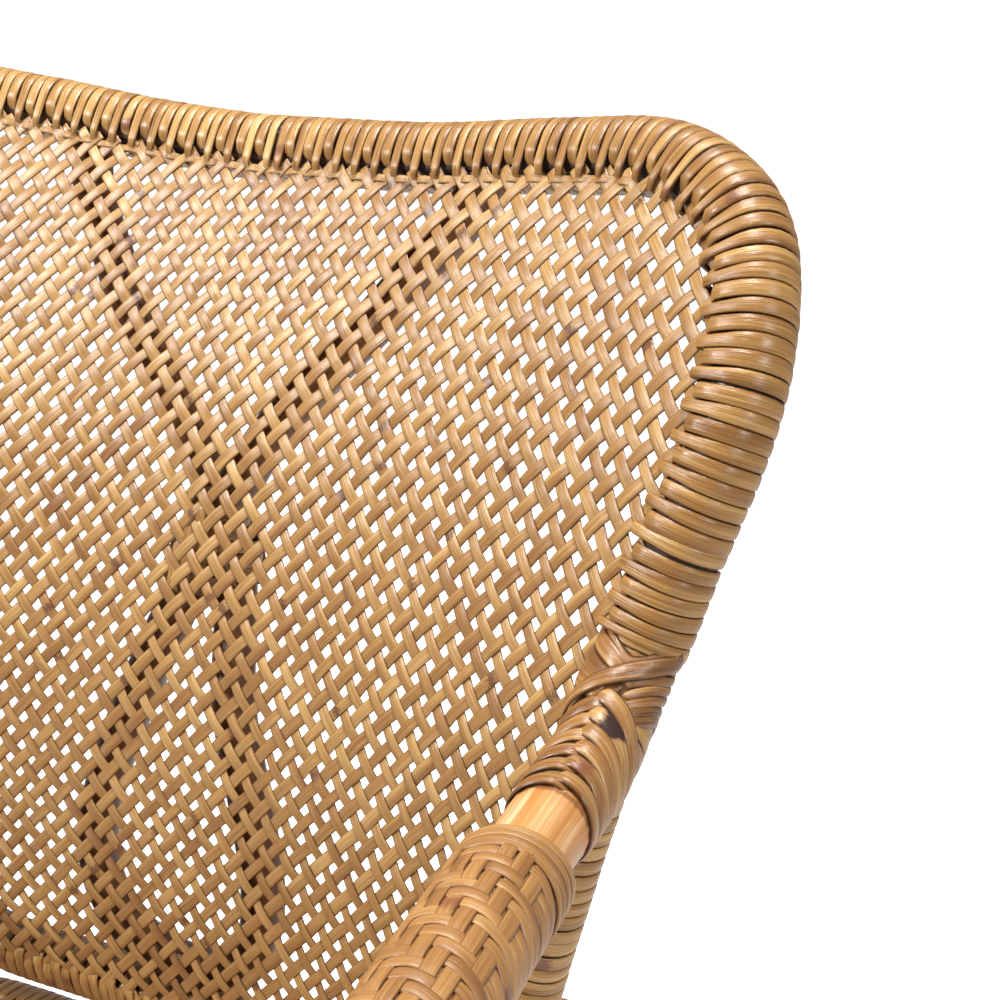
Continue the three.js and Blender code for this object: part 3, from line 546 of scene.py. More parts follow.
poleLook = {
    "deep": tone(190, 124, 62),
    "middle": tone(210, 154, 94),
    "pale": tone(236, 208, 168),
    "toneAt": (0.3, 0.48, 0.7),
    "broad": (1.3, 2.5),  # grains: changes round the pole, and in a metre along it
    "streaks": (7.0, 9.0),
    "pores": (38.0, 120.0),
    "broadShare": 1.1,
    "streakShare": 0.65,
    "toneShift": 0.38,
    "poreRange": (0.56, 0.74),
    "poreDepth": 0.25,
    "node": tone(128, 78, 44),
    "nodeRagged": 0.005,
    "nodeShade": (0.001, 0.012, 0.4),  # full up to, gone from, depth
    "nodeRing": (0.0006, 0.0026, 0.8),
    # painted shade: the colour of the pole where windings cover it, seen as shadow in the gaps between turns
    "hidden": tone(58, 34, 20),  # under windings
    "roughness": 0.34,
    "smoother": 0.06,
    "rougher": 0.1,
    "coat": 0.15,
    "coatRoughness": 0.3,
    "bump": (0.0008, 0.5),
    "seedShift": 53.1,
    "nodeEvery": 0.31,
    "nodeShift": 7.3,
    "nodeWide": 5 * mm,
    "nodeSwell": 0.035,
    "thinnerBy": 0.2 * mm,
}


def poleMaterial(name, look):
    # Bare rattan: long streaks that change round the pole, fine pores, and a dark ring at each node.
    sh = Shader(name)
    along, seed = sh.mark("along"), sh.mark("seed")
    turnX, turnY, toNode = sh.mark("turnX"), sh.mark("turnY"), sh.mark("toNode")
    shifted = sh.times(seed, look["seedShift"])

    def grain(kind, **settings):
        # Noise by the direction round the pole and the way along it.
        around, lengthwise = look[kind]
        place = sh.vector(sh.sum("MULTIPLY_ADD", turnX, around, shifted), sh.times(turnY, around),
                          sh.times(along, lengthwise))
        return sh.noise(place, **settings)

    broad = grain("broad", detail=2.0)
    streaks = grain("streaks", detail=4.0, rough=0.6)
    level = sh.sum("ADD", sh.times(broad, look["broadShare"]), sh.times(streaks, look["streakShare"]))
    level = sh.sum("SUBTRACT", level, look["toneShift"])
    colour = sh.ramp(level, look["toneAt"], (look["deep"], look["middle"], look["pale"]))
    pores = sh.mapped(grain("pores", detail=2.0), *look["poreRange"], 0.0, look["poreDepth"])
    colour = sh.mix(pores, colour, look["deep"])
    apart = sh.sum("ADD", sh.sum("ABSOLUTE", toNode), sh.swing(streaks, look["nodeRagged"]))
    colour = sh.mix(sh.mapped(apart, *look["nodeShade"], 0.0), colour, look["deep"])
    colour = sh.mix(sh.mapped(apart, *look["nodeRing"], 0.0), colour, look["node"])
    # Painted shade: darker where windings cover the pole, for the shadow seen between their turns.
    colour = sh.mix(sh.mark("hidden"), colour, look["hidden"])
    sh.coat(look)
    return sh.finish(colour, sh.roughnessBy(streaks, look), streaks, *look["bump"])


caneWeave = caneMaterial("caneWeave", caneLook)
wrapLook = {
    **caneLook, "dark": tone(124, 80, 38), "middle": tone(168, 123, 65), "light": tone(206, 165, 102),
    "node": tone(116, 64, 40), "nodeHalf": 0.0042,
    "edgeShadeFrom": 0.86, "toneSpread": 0.12, "roughness": 0.31,
}
caneWrap = caneMaterial("caneWrap", wrapLook)
# The plait's look: darker tones, and a darker painted shade along its strands' edges for the gaps between them.
canePlait = caneMaterial("canePlait", {
    **wrapLook, "dark": tone(102, 61, 29), "middle": tone(150, 104, 54), "light": tone(198, 154, 98),
    "edge": tone(56, 30, 16), "edgeShadeFrom": 0.72, "toneSpread": 0.06,
})
caneCover = caneMaterial("caneCover", {
    **wrapLook, "dark": tone(126, 82, 41), "middle": tone(162, 114, 61), "light": tone(190, 143, 85),
    "edgeShadeFrom": 0.8, "toneSpread": 0.05, "roughness": 0.38,
})
# Near-black cane colours: painted shade for the dark recesses under the rims' windings.
shadePacking = caneMaterial("shadePacking", {
    **caneLook, "dark": tone(34, 18, 10), "middle": tone(52, 30, 17), "light": tone(78, 48, 28), "nodeShare": 0.0,
    "roughness": 0.6, "coat": 0.0,
})
barePole = poleMaterial("barePole", poleLook)
# A darker copy of the bare pole's look: painted shade for the ribbon pole, which lies in shadow behind the woven
# back.
shadedRibbonPole = poleMaterial("shadedRibbonPole", {
    **poleLook, "deep": tone(92, 50, 26), "middle": tone(126, 78, 42), "pale": tone(160, 112, 70),
})


def finishPiece(piece, material, slotName, *nodes):
    # Every piece rides on the chair's one body; some stand for CAD nodes.
    piece.data.materials.append(material)
    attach(piece, "root")
    if nodes:
        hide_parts(*nodes)
    return piece


# Camera, light and floor

view = {
    "eye": (513.5 * mm, -555.7 * mm, 240.9 * mm),  # from the ribbon's crossing
    "turn": 31.8,
    "down": 16.3,
    "lens": 57.6,
    "filmWidth": 36,
}


def placeCamera():
    # The camera stands off the crossing, turned about the upright and then tilted down.
    camera = bpy.data.objects.new("camera", bpy.data.cameras.new("camera"))
    camera.data.lens = view["lens"]
    camera.data.sensor_width = view["filmWidth"]
    camera.data.clip_start = 0.01
    bpy.context.scene.collection.objects.link(camera)
    turn = Matrix.Rotation(np.radians(view["turn"]), 4, "Z")
    down = Matrix.Rotation(np.radians(90 - view["down"]), 4, "X")
    place = Vector(chair["crossing"]) + Vector(view["eye"])
    camera.matrix_world = Matrix.Translation(place) @ turn @ down
    bpy.context.scene.camera = camera


lamps = {
    "keyLeft": {"place": (-1.4, -1.2, 2.2), "size": 0.6, "power": 55},
    "top": {"place": (0.0, 0.3, 2.5), "size": 0.7, "power": 36},
    "edgeRight": {"place": (1.7, -0.3, 1.7), "size": 0.4, "power": 14},
}


studio = {
    "wallLight": 0.31,
    "wallSeen": 1.05,
    "floorHalf": 60.0,
    "floorTone": (0.9, 0.9, 0.9, 1),
    "floorRoughness": 0.7,
    "floorGlow": 0.85,
}


def seenShare(tree):
    # One for what the camera sees straight away, nought for light that is gathered elsewhere.
    return tree.nodes.new("ShaderNodeLightPath").outputs["Is Camera Ray"]


def placeLights():
    # Disks of light that face the crossing.
    target = Vector(chair["crossing"])
    for name, lamp in lamps.items():
        light = bpy.data.lights.new(name, "AREA")
        light.shape = "DISK"
        light.size = lamp["size"]
        light.energy = lamp["power"]
        holder = bpy.data.objects.new(name, light)
        bpy.context.scene.collection.objects.link(holder)
        away = target - Vector(lamp["place"])
        holder.matrix_world = Matrix.Translation(lamp["place"]) @ away.to_track_quat("-Z", "Y").to_matrix().to_4x4()
    # The studio's walls look white, and light the chair by less than that.
    world = bpy.data.worlds.new("studio")
    world.use_nodes = True
    tree = world.node_tree
    strength = tree.nodes.new("ShaderNodeMapRange")
    strength.inputs["To Min"].default_value = studio["wallLight"]
    strength.inputs["To Max"].default_value = studio["wallSeen"]
    tree.links.new(seenShare(tree), strength.inputs["Value"])
    backdrop = tree.nodes["Background"]
    backdrop.inputs["Color"].default_value = (1, 1, 1, 1)
    tree.links.new(strength.outputs["Result"], backdrop.inputs["Strength"])
    bpy.context.scene.world = world
    bpy.context.scene.view_settings.view_transform = "Standard"


def placeFloor():
    # A pale floor that glows for the camera alone, so that it looks as white as the walls.
    half = studio["floorHalf"]
    corners = np.array([(-half, -half, 0), (half, -half, 0), (half, half, 0), (-half, half, 0)])
    none = np.zeros((0, 4), int)
    floor = meshFrom("floor", corners, np.array([[0, 1, 2, 3]]), none, {})
    sh = Shader("paleFloor")
    sh.surface.inputs["Base Color"].default_value = studio["floorTone"]
    sh.surface.inputs["Roughness"].default_value = studio["floorRoughness"]
    sh.surface.inputs["Emission Color"].default_value = (1, 1, 1, 1)
    glow = sh.mapped(seenShare(sh.tree), 0.0, 1.0, 0.0, studio["floorGlow"], "LINEAR")
    sh.feed(sh.surface.inputs["Emission Strength"], glow)
    floor.data.materials.append(sh.material)


placeCamera()
placeLights()
placeFloor()
print("stage: camera, light and floor")


# Frame poles

seatPlan = {
    "height": 401 * mm,
    "frontHalfWidth": 274 * mm,
    "rearHalfWidth": 200 * mm,
    "frontReach": 232 * mm,
    "rearReach": 204 * mm,
    "rearShares": [(0, 1), (0.5, 0.99), (0.83, 0.93), (0.985, 0.77)],
    "frontShares": [(0.995, -0.8), (0.985, -0.93), (0.9, -1.035), (0.5, -1.085), (0, -1.1)],
    "legPoints": (3, 5),  # the plan's points beside which the rear and front legs stand
    "caneThickness": 1.5 * mm,
}
feet = {
    "front": (300 * mm, -201 * mm),
    "rear": (232 * mm, 236 * mm),
    "height": 7.3 * mm,
    "shinShare": 0.5,
    "kneeShare": 0.55,
    "rearRimDrop": 182 * mm,
    "lashingReach": 23 * mm,
}
poleEnds = {  # how far each pole stops short of its path's end
    "butt": 0.15 * mm,
    "rearLeg": 6 * mm,
    "lowerRim": 12 * mm,
    "ribbon": 8 * mm,
    "bareFrom": 44 * mm,  # the hoop is bare from this far before its arm cover
}
poleSeeds = {
    "hoop": {"left": 0.23 + 0.31, "right": 0.23 - 0.31},
    "rearLeg": {"left": 0.4 + 0.17, "right": 0.4 - 0.17},
    "lowerRim": 0.71,
    "seatRing": 0.52,
    "ribbon": 0.87,
}


def seatHalfPlan():
    # Shares of the rear's and the front's half widths and reaches, and a point halfway between the two.
    rear = [(a * seatPlan["rearHalfWidth"], b * seatPlan["rearReach"]) for a, b in seatPlan["rearShares"]]
    front = [(a * seatPlan["frontHalfWidth"], b * seatPlan["frontReach"]) for a, b in seatPlan["frontShares"]]
    middle = ((rear[-1][0] + front[0][0]) / 2, (rear[-1][1] + front[0][1]) / 2)
    return rear + [middle] + front


def onRing(x, y):
    # A place in plan, at the ring's height.
    return np.array([x, y + originShift, seatPlan["height"]])


ringHalf = np.array([onRing(x, y) for x, y in seatHalfPlan()])
ringPath = Path(np.concatenate([
    mirrored(ringHalf[1:2], -1), ringHalf, mirrored(ringHalf[:-1][::-1], -1), ringHalf[1:2],
]), soften=6 * mm)
ringStart = ringPath.nearest(ringHalf[0], before=0.5)
ringSpan = (ringStart, ringPath.total - ringStart)


def besideRing(index):
    # A leg's centre beside the ring, outside it by both radii and the gap.
    s = ringPath.nearest(ringHalf[index])
    seat, tangent = ringPath.spot(s)
    outward = unit(np.array([tangent[1], -tangent[0], 0]))
    if outward @ np.array([seat[0], seat[1] - originShift, 0]) < 0:
        outward = -outward
    out = chair["poleRadius"] + chair["seatPoleRadius"] + seatPlan["caneThickness"] + chair["gap"]
    return seat, seat + outward * out


(rearSeat, rearBeside), (frontSeat, frontBeside) = (besideRing(index) for index in seatPlan["legPoints"])


def hoopPoints(sign):
    # Half of the rim, then the arm, then past the ring and the shin down to the foot.
    rim = [backPoint(x, z) for x, z in upperRim(sign)]
    arm = [armPoint(share) for share in armShares]
    foot = np.array([feet["front"][0], feet["front"][1] + originShift, feet["height"]])
    shin = frontBeside + (foot - frontBeside) * feet["shinShare"]
    before = mirrored([rim[1]], -1)
    return mirrored(np.concatenate([before, rim, arm, [frontBeside, shin, foot]]), sign)


sides = {"left": 1, "right": -1}
hoopPaths = {name: Path(hoopPoints(sign), soften=7 * mm) for name, sign in sides.items()}
drawnIn = {"before": 104 * mm, "reach": 25 * mm, "by": 3.4 * mm, "towards": (-0.85, -0.53, 0.0)}


def coverEdge(name, which):
    # The arc length at which a hoop's woven arm cover starts or ends.
    return hoopPaths[name].nearest(mirrored(armPoint(armShares[coverPoints[which]]), sides[name]))


for name, sign in sides.items():  # the lashing draws each hoop in a little where it turns into the arm
    path = hoopPaths[name]
    middle = coverEdge(name, "start") - drawnIn["before"]
    near = np.exp(-((path.lengths - middle) / drawnIn["reach"]) ** 2)
    path.points = path.points + near[:, None] * drawnIn["by"] * mirrored(drawnIn["towards"], sign)

lowerHalf = np.array([backPoint(x, z) for x, z in lowerRim])
lowerPath = Path(np.concatenate([lowerHalf, mirrored(lowerHalf[:-1][::-1], -1)]), soften=7 * mm)


def lowerRimSeat(drop, sign):
    # A rear leg's centre behind the lower rim at a height, clear of it by the gap.
    half = lowerPath.points[lowerPath.points[:, 0] * sign > 0]
    height = chair["crossing"][2] - drop
    near = half[np.abs(half[:, 2] - height).argmin()]
    out = chair["lowerRimRadius"] + seatPlan["caneThickness"] + chair["poleRadius"] + chair["gap"]
    return near - backFront(near) * out


def rearLegPoints(sign):
    # From a tip above the lower rim, past it, past the ring and the knee to the foot.
    foot = np.array([feet["rear"][0] * sign, feet["rear"][1] + originShift, feet["height"]])
    ringSide = mirrored(rearBeside, sign)
    knee = foot + (ringSide - foot) * feet["kneeShare"]
    rimSide = lowerRimSeat(feet["rearRimDrop"], sign)
    tip = rimSide + unit(rimSide - ringSide) * feet["lashingReach"]
    return np.array([tip, rimSide, ringSide, knee, foot])


rearPaths = {name: Path(rearLegPoints(sign), soften=7 * mm) for name, sign in sides.items()}


def framePole(name, node, path, radius, seed, material=barePole, **shape):
    # A pole's mesh that stands for its CAD node.
    finishPiece(poleMesh(name, path, radius, seed, **shape), material, "rattan_pole", node)


hoopStarts = {}
for name, sign in sides.items():
    path = hoopPaths[name]
    hoopStarts[name] = path.nearest(backPoint(0.0, upperRim(sign)[0][1])) + poleEnds["butt"]
    framePole("hoopPole." + name, "hoop_pole_" + name, path, chair["poleRadius"], poleSeeds["hoop"][name],
              start=hoopStarts[name], hiddenTo=coverEdge(name, "start") - poleEnds["bareFrom"])
    framePole("rearLeg." + name, "rear_leg_" + name, rearPaths[name], chair["poleRadius"],
              poleSeeds["rearLeg"][name], start=poleEnds["rearLeg"])
framePole("lowerRimPole", "lower_rim_pole", lowerPath, chair["lowerRimRadius"], poleSeeds["lowerRim"],
          start=poleEnds["lowerRim"], end=lowerPath.total - poleEnds["lowerRim"], hiddenTo=lowerPath.total)
framePole("seatRingPole", "seat_ring_pole", ringPath, chair["seatPoleRadius"], poleSeeds["seatRing"],
          start=ringSpan[0] + poleEnds["butt"], end=ringSpan[1] - poleEnds["butt"], hiddenTo=ringPath.total)

ribbon = {
    "topSpread": 129 * mm,
    "loopHalfWidth": 55 * mm,
    "dipHeight": 90 * mm,
    "headShare": 0.98,
    "topShares": [(0.9, 0.839), (0.77, 0.722), (0.61, 0.585), (0.43, 0.458), (0.25, 0.307), (0.12, 0.166)],
    "loopShares": [(0.24, -0.16), (0.52, -0.33), (0.86, -0.56), (1, -0.72), (0.94, -0.85), (0.62, -0.955)],
    "sheetThickness": 4 * mm,
}


def ribbonPath():
    # Down one side, over the middle, round the loop, and up again as the mirror of that. On the way
    # up it dips behind by (1 + cos(pi * z / height)) / 2 of its own thickness and two gaps.
    radius, gap = chair["ribbonRadius"], chair["gap"]
    forward = chair["weaveLift"] - ribbon["sheetThickness"] / 2 - gap - radius
    crossGap = 2 * radius + 2 * gap
    loopFoot = -chair["backDrop"] + chair["lowerRimRadius"] + seatPlan["caneThickness"] + gap + radius
    headHeight = ribbon["headShare"] * chair["backRise"]
    tops = [(a * ribbon["topSpread"], b * headHeight) for a, b in ribbon["topShares"]]
    loop = [(a * ribbon["loopHalfWidth"], -b * loopFoot) for a, b in ribbon["loopShares"]]
    first = [(ribbon["topSpread"], headHeight), *tops, (0.0, 0.0), *[(-x, z) for x, z in loop]]

    def place(x, z, dips):
        near = abs(z) < ribbon["dipHeight"]
        dip = (1 + np.cos(np.pi * z / ribbon["dipHeight"])) / 2 if dips and near else 0.0
        return backPoint(x, z, dip * crossGap - forward)

    second = [(-x, z) for x, z in first][::-1]
    points = [place(x, z, False) for x, z in first] + [place(0.0, loopFoot, False)]
    return Path(np.array(points + [place(x, z, True) for x, z in second]), soften=5 * mm)


ribbonCurve = ribbonPath()
framePole("ribbonPole", "ribbon_pole", ribbonCurve, chair["ribbonRadius"], poleSeeds["ribbon"], shadedRibbonPole,
          start=poleEnds["ribbon"], sides=16)
print("stage: poles")


# Woven sheets

weave = {
    "risingPitch": 9.6 * mm,
    "fallingPitch": 10.9 * mm,
    "risingHalfWidth": 3.0 * mm,
    "fallingHalfWidth": 3.05 * mm,
    "thickness": 0.85 * mm,
    "wave": 0.42 * mm,
    "stepsPerCell": 6,
    "inset": 4 * mm,
    "upperInset": 11 * mm,
    "upperOver": 40 * mm,  # the height over which the upper inset sets in
    "flatness": 1.25,
    "drift": 0.35 * mm,
    "driftShares": [1.0, 0.6, 0.35],
    "driftWaves": [0.19, 0.083, 0.034],
    "liftSpread": 0.06 * mm,
    "widthSpread": 0.05,
    "leastStations": 4,
    "loopStep": 6 * mm,
    "tableReach": 0.4,
}


def insideLoop(x, y, loop):
    # Even-odd rule: a place is inside if a level line from it crosses the loop an odd number of times.
    inside = np.zeros(x.shape, bool)
    for (x0, y0), (x1, y1) in zip(loop, np.roll(loop, -1, axis=0)):
        spans = (y0 > y) != (y1 > y)
        crossing = x0 + (y - y0) / (y1 - y0 + 1e-15) * (x1 - x0)
        inside ^= spans & (x < crossing)
    return inside


def loopRuns(loop):
    # The direction between each point's neighbours.
    return unit(np.roll(loop, -1, axis=0) - np.roll(loop, 1, axis=0))


def insetLoop(loop, inset):
    # Each point moved inwards, square to the run between its neighbours.
    run = loopRuns(loop)
    area = (loop[:, 0] * np.roll(loop[:, 1], -1) - np.roll(loop[:, 0], -1) * loop[:, 1]).sum()
    return loop + np.sign(area) * inset * np.stack([-run[:, 1], run[:, 0]], -1)


def weaveSheet(panel, loop, flatten, place, node):
    # Plain weave on the bias. With p and q the distances along the two diagonals of the flat sheet,
    # a rising strand keeps q and a falling strand keeps p, a whole number of pitches each. Heights
    # are a flattened cosine of the place along the strand, turned over from strand to strand.
    root = 2 ** 0.5
    flatLoop = np.stack(flatten(loop[:, 0], loop[:, 1]), -1)
    far = np.abs(flatLoop).max(0).sum() / root
    for rising in (True, False):
        own, other = ("rising", "falling") if rising else ("falling", "rising")
        apart, pitch = weave[own + "Pitch"], weave[other + "Pitch"]
        reach = int(np.ceil(far / min(pitch, apart))) + 1
        numbers = np.arange(-reach, reach + 1)
        fine = np.arange(-reach * pitch, reach * pitch, pitch / weave["stepsPerCell"])
        steady, moving = np.meshgrid(numbers * apart, fine, indexing="ij")
        p, q = (moving, steady) if rising else (steady, moving)
        inside = insideLoop((p + q) / root, (p - q) / root, flatLoop)
        keep = inside & (inside.sum(1) >= weave["leastStations"])[:, None]
        number = np.nonzero(keep)[0]
        travel, fixed = moving[keep], steady[keep]
        phases = rng.uniform(0, 2 * np.pi, (3, len(numbers)))
        fixed = fixed + sum(share * weave["drift"] * np.sin(2 * np.pi * travel / wave + phase[number])
                            for share, wave, phase in zip(weave["driftShares"], weave["driftWaves"], phases))
        p, q = (travel, fixed) if rising else (fixed, travel)
        swing = np.cos(np.pi * (travel / pitch + numbers[number] % 2))
        flatness = weave["flatness"]
        lift = weave["wave"] * np.tanh(flatness * swing) / np.tanh(flatness) * (1 if rising else -1)
        lift = lift + rng.normal(0, weave["liftSpread"], len(numbers))[number]
        centres, ups = place((p + q) / root, (p - q) / root, lift - weave["thickness"] / 2)
        widths = weave[own + "HalfWidth"] * (1 + weave["widthSpread"] * rng.normal(0, 1, len(numbers))[number])
        seeds = rng.uniform(0, 1, len(numbers))[number]
        name = panel + own.capitalize() + "Strands"
        finishPiece(sweptMesh(name, centres, ups, number, widths, weave["thickness"], seeds),
                    caneWeave, "cane_weave", node)


def arcTable(slope, samples=801):
    # Distances along a curve of the given slope, against plain distance.
    plain = np.linspace(-weave["tableReach"], weave["tableReach"], samples)
    steps = np.sqrt(1 + slope(plain) ** 2)
    along = runningSum((steps[1:] + steps[:-1]) / 2 * np.diff(plain))
    return plain, along - np.interp(0, plain, along)


rimHalves = [np.array(upperRim(sign) + lowerRim[1:]) * [sign, 1] for sign in (1, -1)]
rimLoopPoints = np.concatenate([rimHalves[0], rimHalves[1][1:-1][::-1]])
rimLoop = evenly(centripetal(np.concatenate([rimLoopPoints, rimLoopPoints[:2]])), weave["loopStep"])
doubled = np.linalg.norm(rimLoopPoints[1] - rimLoopPoints[0])
rimLoop = rimLoop[:-int(round(doubled / weave["loopStep"])) - 1]

backX, backS = arcTable(lambda x: x / chair["backHollowRadius"])
backZ, backT = arcTable(lambda z: chair["backLeanShare"] + z / chair["backFlareRadius"])


def flattenBack(x, z):
    # Distances along the surface, read from the two tables.
    return np.interp(x, backX, backS), np.interp(z, backZ, backT)


def placeOnBack(s, t, lift):
    # The surface at those distances, moved to the front by the weave's lift and the strand's.
    x, z = np.interp(s, backS, backX), np.interp(t, backT, backZ)
    surface = backPoint(x, z)
    front = backFront(surface)
    return surface + front * (chair["weaveLift"] + lift)[:, None], front


upperShare = np.clip(rimLoop[:, 1:] / weave["upperOver"], 0, 1) * loopRuns(rimLoop)[:, :1] ** 2
rimInset = weave["inset"] + (weave["upperInset"] - weave["inset"]) * upperShare
weaveSheet("back", insetLoop(rimLoop, rimInset), flattenBack, placeOnBack, "woven_back")

seatPanel = {
    "sag": 7 * mm,
    "sagHalfWidth": 250 * mm,
    "sagHalfDepth": 220 * mm,
    "lift": chair["weaveLift"] - chair["poleRadius"] + chair["seatPoleRadius"],
}
ringLoop = ringPath.points[(ringPath.lengths > ringSpan[0]) & (ringPath.lengths < ringSpan[1])]
ringLoop = ringLoop[::round(weave["loopStep"] / mm), :2]


def placeOnSeat(s, t, lift):
    # The seat sags most in the middle: its drop falls off with the square of the share of the way out.
    share = np.maximum(np.abs(s) / seatPanel["sagHalfWidth"], np.abs(t - originShift) / seatPanel["sagHalfDepth"])
    drop = seatPanel["sag"] * np.clip(1 - share ** 2, 0, 1)
    centres = np.stack([s, t, seatPlan["height"] + seatPanel["lift"] - drop + lift], -1)
    return centres, upwards(centres)


weaveSheet("seat", insetLoop(ringLoop, weave["inset"]), lambda x, y: (x, y), placeOnSeat, "woven_seat")
print("stage: woven back and seat")


# Wound cane

wrap = {
    "pitch": 6.3 * mm,
    "halfWidth": 3.1 * mm,
    "thickness": 1.5 * mm,
    "clear": 0.1 * mm,
    "stationsPerTurn": 26,
    "noseRadius": 1.2 * mm,
    "noseLift": 15.6 * mm,
    "steepReach": 0.85,
    "levelReach": 0.42,  # more than the steep reach where the rim runs level
    "advanceShare": 0.24,
    "placeSpread": 0.22 * mm,
    "reachSpread": 0.6 * mm,
    "widthSpread": 0.04,
    "thicknessSpread": 0.05,
    "crowding": (0.6, 1.2),
    "slantedFrom": -0.3,  # the sine of the lowest direction that a slant moves
    "tipTurn": 0.9,
    "tipSpread": 0.75,
}
meeting = {  # where the lower rim comes to the hoop
    "aheadCost": 6,
    "near": 34 * mm,
    "fade": 12 * mm,
    "share": 0.96,
}
# Sizes of the dark painted-shade body under the rims' windings.
core = {
    "step": 4 * mm,
    "lower": 2.4 * mm,
    "thinner": 0.3 * mm,
    "noseRadius": 0.8 * mm,
    "stations": 28,
}
allRound = np.linspace(-np.pi / 2, 1.5 * np.pi, 721)  # directions round a pole, from its under side


def hullCurves(radius, noseAcross, noseUp, noseRadius, sharp=2.2 / mm):
    # Support distance in each direction: a soft maximum of the pole's circle and a second, smaller
    # circle. A point is its support times the direction, plus the slope times the normal.
    c, s = np.cos(allRound), np.sin(allRound)
    nose = noseAcross[:, None] * c + noseUp[:, None] * s + np.broadcast_to(noseRadius, noseUp.shape)[:, None]
    support = radius + np.logaddexp(0, sharp * (nose - radius)) / sharp
    slope = np.gradient(support, allRound, axis=1)
    return support * c - slope * s, support * s + slope * c, allRound


def smoothHull(curves, count):
    # The hull's stations at equal steps round it.
    across, up, turn = curves
    steps = np.hypot(np.diff(across, axis=1), np.diff(up, axis=1))
    lengths = np.concatenate([np.zeros((len(across), 1)), np.cumsum(steps, axis=1)], 1)
    marks = np.linspace(0, 1, count, endpoint=False)
    shares = lengths / lengths[:, -1:]
    rows = [np.stack([np.interp(marks, share, values) for values in (a, u, turn)])
            for share, a, u in zip(shares, across, up)]
    return np.array(rows)  # turns, then (across, up, direction), then stations


def sectionFrames(path, s, faceOf, inwardSign):
    # Each station's place, its direction, the face made square to that, and the cross product of
    # the two, which the sign turns to the inner side.
    centre, tangent = path.at(s), path.tangent(s)
    face = squareTo(faceOf(centre), tangent)
    return centre, tangent, face, np.cross(tangent, face) * inwardSign


def ringPlaces(frames, across, up):
    # Places round each station, from their distances across and up.
    centre, tangent, face, inward = frames
    return centre[:, None] + inward[:, None] * across[..., None] + face[:, None] * up[..., None]


def levelShare(tangent):
    # How far a turn reaches over the woven edge: farther where the rim runs level.
    return wrap["steepReach"] + wrap["levelReach"] * tangent[:, 0] ** 2


def edgeNoses(long, short):
    # Turns reach over the woven edge, every second one far and the others near.
    def noses(number, radius, frames):
        reach = np.where(number % 2 == 0, long, short) * levelShare(frames[1])
        reach = reach + rng.normal(0, wrap["reachSpread"], len(number))
        return reach, np.full(len(number), wrap["noseLift"] - chair["poleRadius"] + radius), wrap["noseRadius"]
    return noses


def bareNoses(number, radius, frames):
    # No nose, so that the hull is the pole's own circle.
    return np.zeros(len(number)), np.zeros(len(number)), 0.0


def lowerRimNoses(number, radius, frames):
    # The lower rim's circle where it passes the pole's section. It fades as the rim draws away.
    centre, tangent, face, inward = frames
    apart = lowerPath.points[None] - centre[:, None]
    ahead = np.abs((apart * tangent[:, None]).sum(-1))
    cost = ahead * meeting["aheadCost"] + np.linalg.norm(apart, axis=-1)
    chosen = apart[np.arange(len(centre)), cost.argmin(1)]
    across, up = (chosen * inward).sum(-1), (chosen * face).sum(-1)
    share = (1 - np.clip((cost.min(1) - meeting["near"]) / meeting["fade"], 0, 1)) * meeting["share"]
    return across * share, up * share, chair["lowerRimRadius"] + seatPlan["caneThickness"] / 2


def windStrand(name, path, start, end, radius, faceOf, node, inwardSign=1, noses=bareNoses, pitch=None,
               slant=0.0, tips=0.0):
    # One strand wound round a pole. It goes on by a pitch each turn, all of it behind the pole. A
    # slant sets the inner side of level turns further along, and tips narrow every second one.
    turns = int(round((end - start) / (pitch or wrap["pitch"])))
    pitch = (end - start) / turns
    count = wrap["stationsPerTurn"]
    number = np.arange(turns)
    frames = sectionFrames(path, start + pitch * (number + 0.5), faceOf, inwardSign)
    hull = smoothHull(hullCurves(radius + wrap["clear"], *noses(number, radius, frames)), count)
    share = np.linspace(0, 1, count, endpoint=False)
    half = wrap["advanceShare"] / 2
    advance = np.clip((share - (1 - half)) / (2 * half), 0, 0.5) + np.clip((share + half) / (2 * half), 0.5, 1) - 1
    jitter = rng.normal(0, wrap["placeSpread"], turns)
    s = (start + pitch * (number[:, None] + 0.5 + advance) + jitter[:, None]).ravel()
    across, up, turn = (hull[:, k].ravel() for k in range(3))
    if slant:
        level = path.tangent(s)[:, 0] ** 2
        s = s + slant * inwardSign * level * across / radius * (np.sin(turn) > wrap["slantedFrom"])
    centre, tangent, face, inward = sectionFrames(path, s, faceOf, inwardSign)
    centres = centre + inward * across[:, None] + face * up[:, None]
    ups = inward * np.cos(turn)[:, None] + face * np.sin(turn)[:, None]
    crowding = np.clip(1 - (path.bend(s) * (centres - centre)).sum(-1), *wrap["crowding"])
    widths = np.repeat(rng.normal(1, wrap["widthSpread"], turns), count) * wrap["halfWidth"] * crowding
    towardsTip = np.exp(-((turn - wrap["tipTurn"]) / wrap["tipSpread"]) ** 2) * np.repeat(number % 2 == 0, count)
    widths = widths * (1 - tips * towardsTip)
    thickness = wrap["thickness"] * np.repeat(rng.normal(1, wrap["thicknessSpread"], turns), count)
    piece = sweptMesh(name, centres, ups, np.zeros(len(s), int), widths, thickness, rng.uniform())
    return finishPiece(piece, caneWrap, "cane_binding", *([node] if node else []))


def tubeFrom(name, rings, spacing, seed=0.3):
    # A closed tube through rings of places at equal steps.
    rows, around = rings.shape[:2]
    along = np.repeat(np.arange(rows) * spacing, around)
    across = np.tile(np.cos(np.arange(around)), rows)
    marks = {"along": along, "across": across, "seed": np.full(len(along), seed)}
    return meshFrom(name, rings.reshape(-1, 3), *tubeFaces(rows, around), marks)


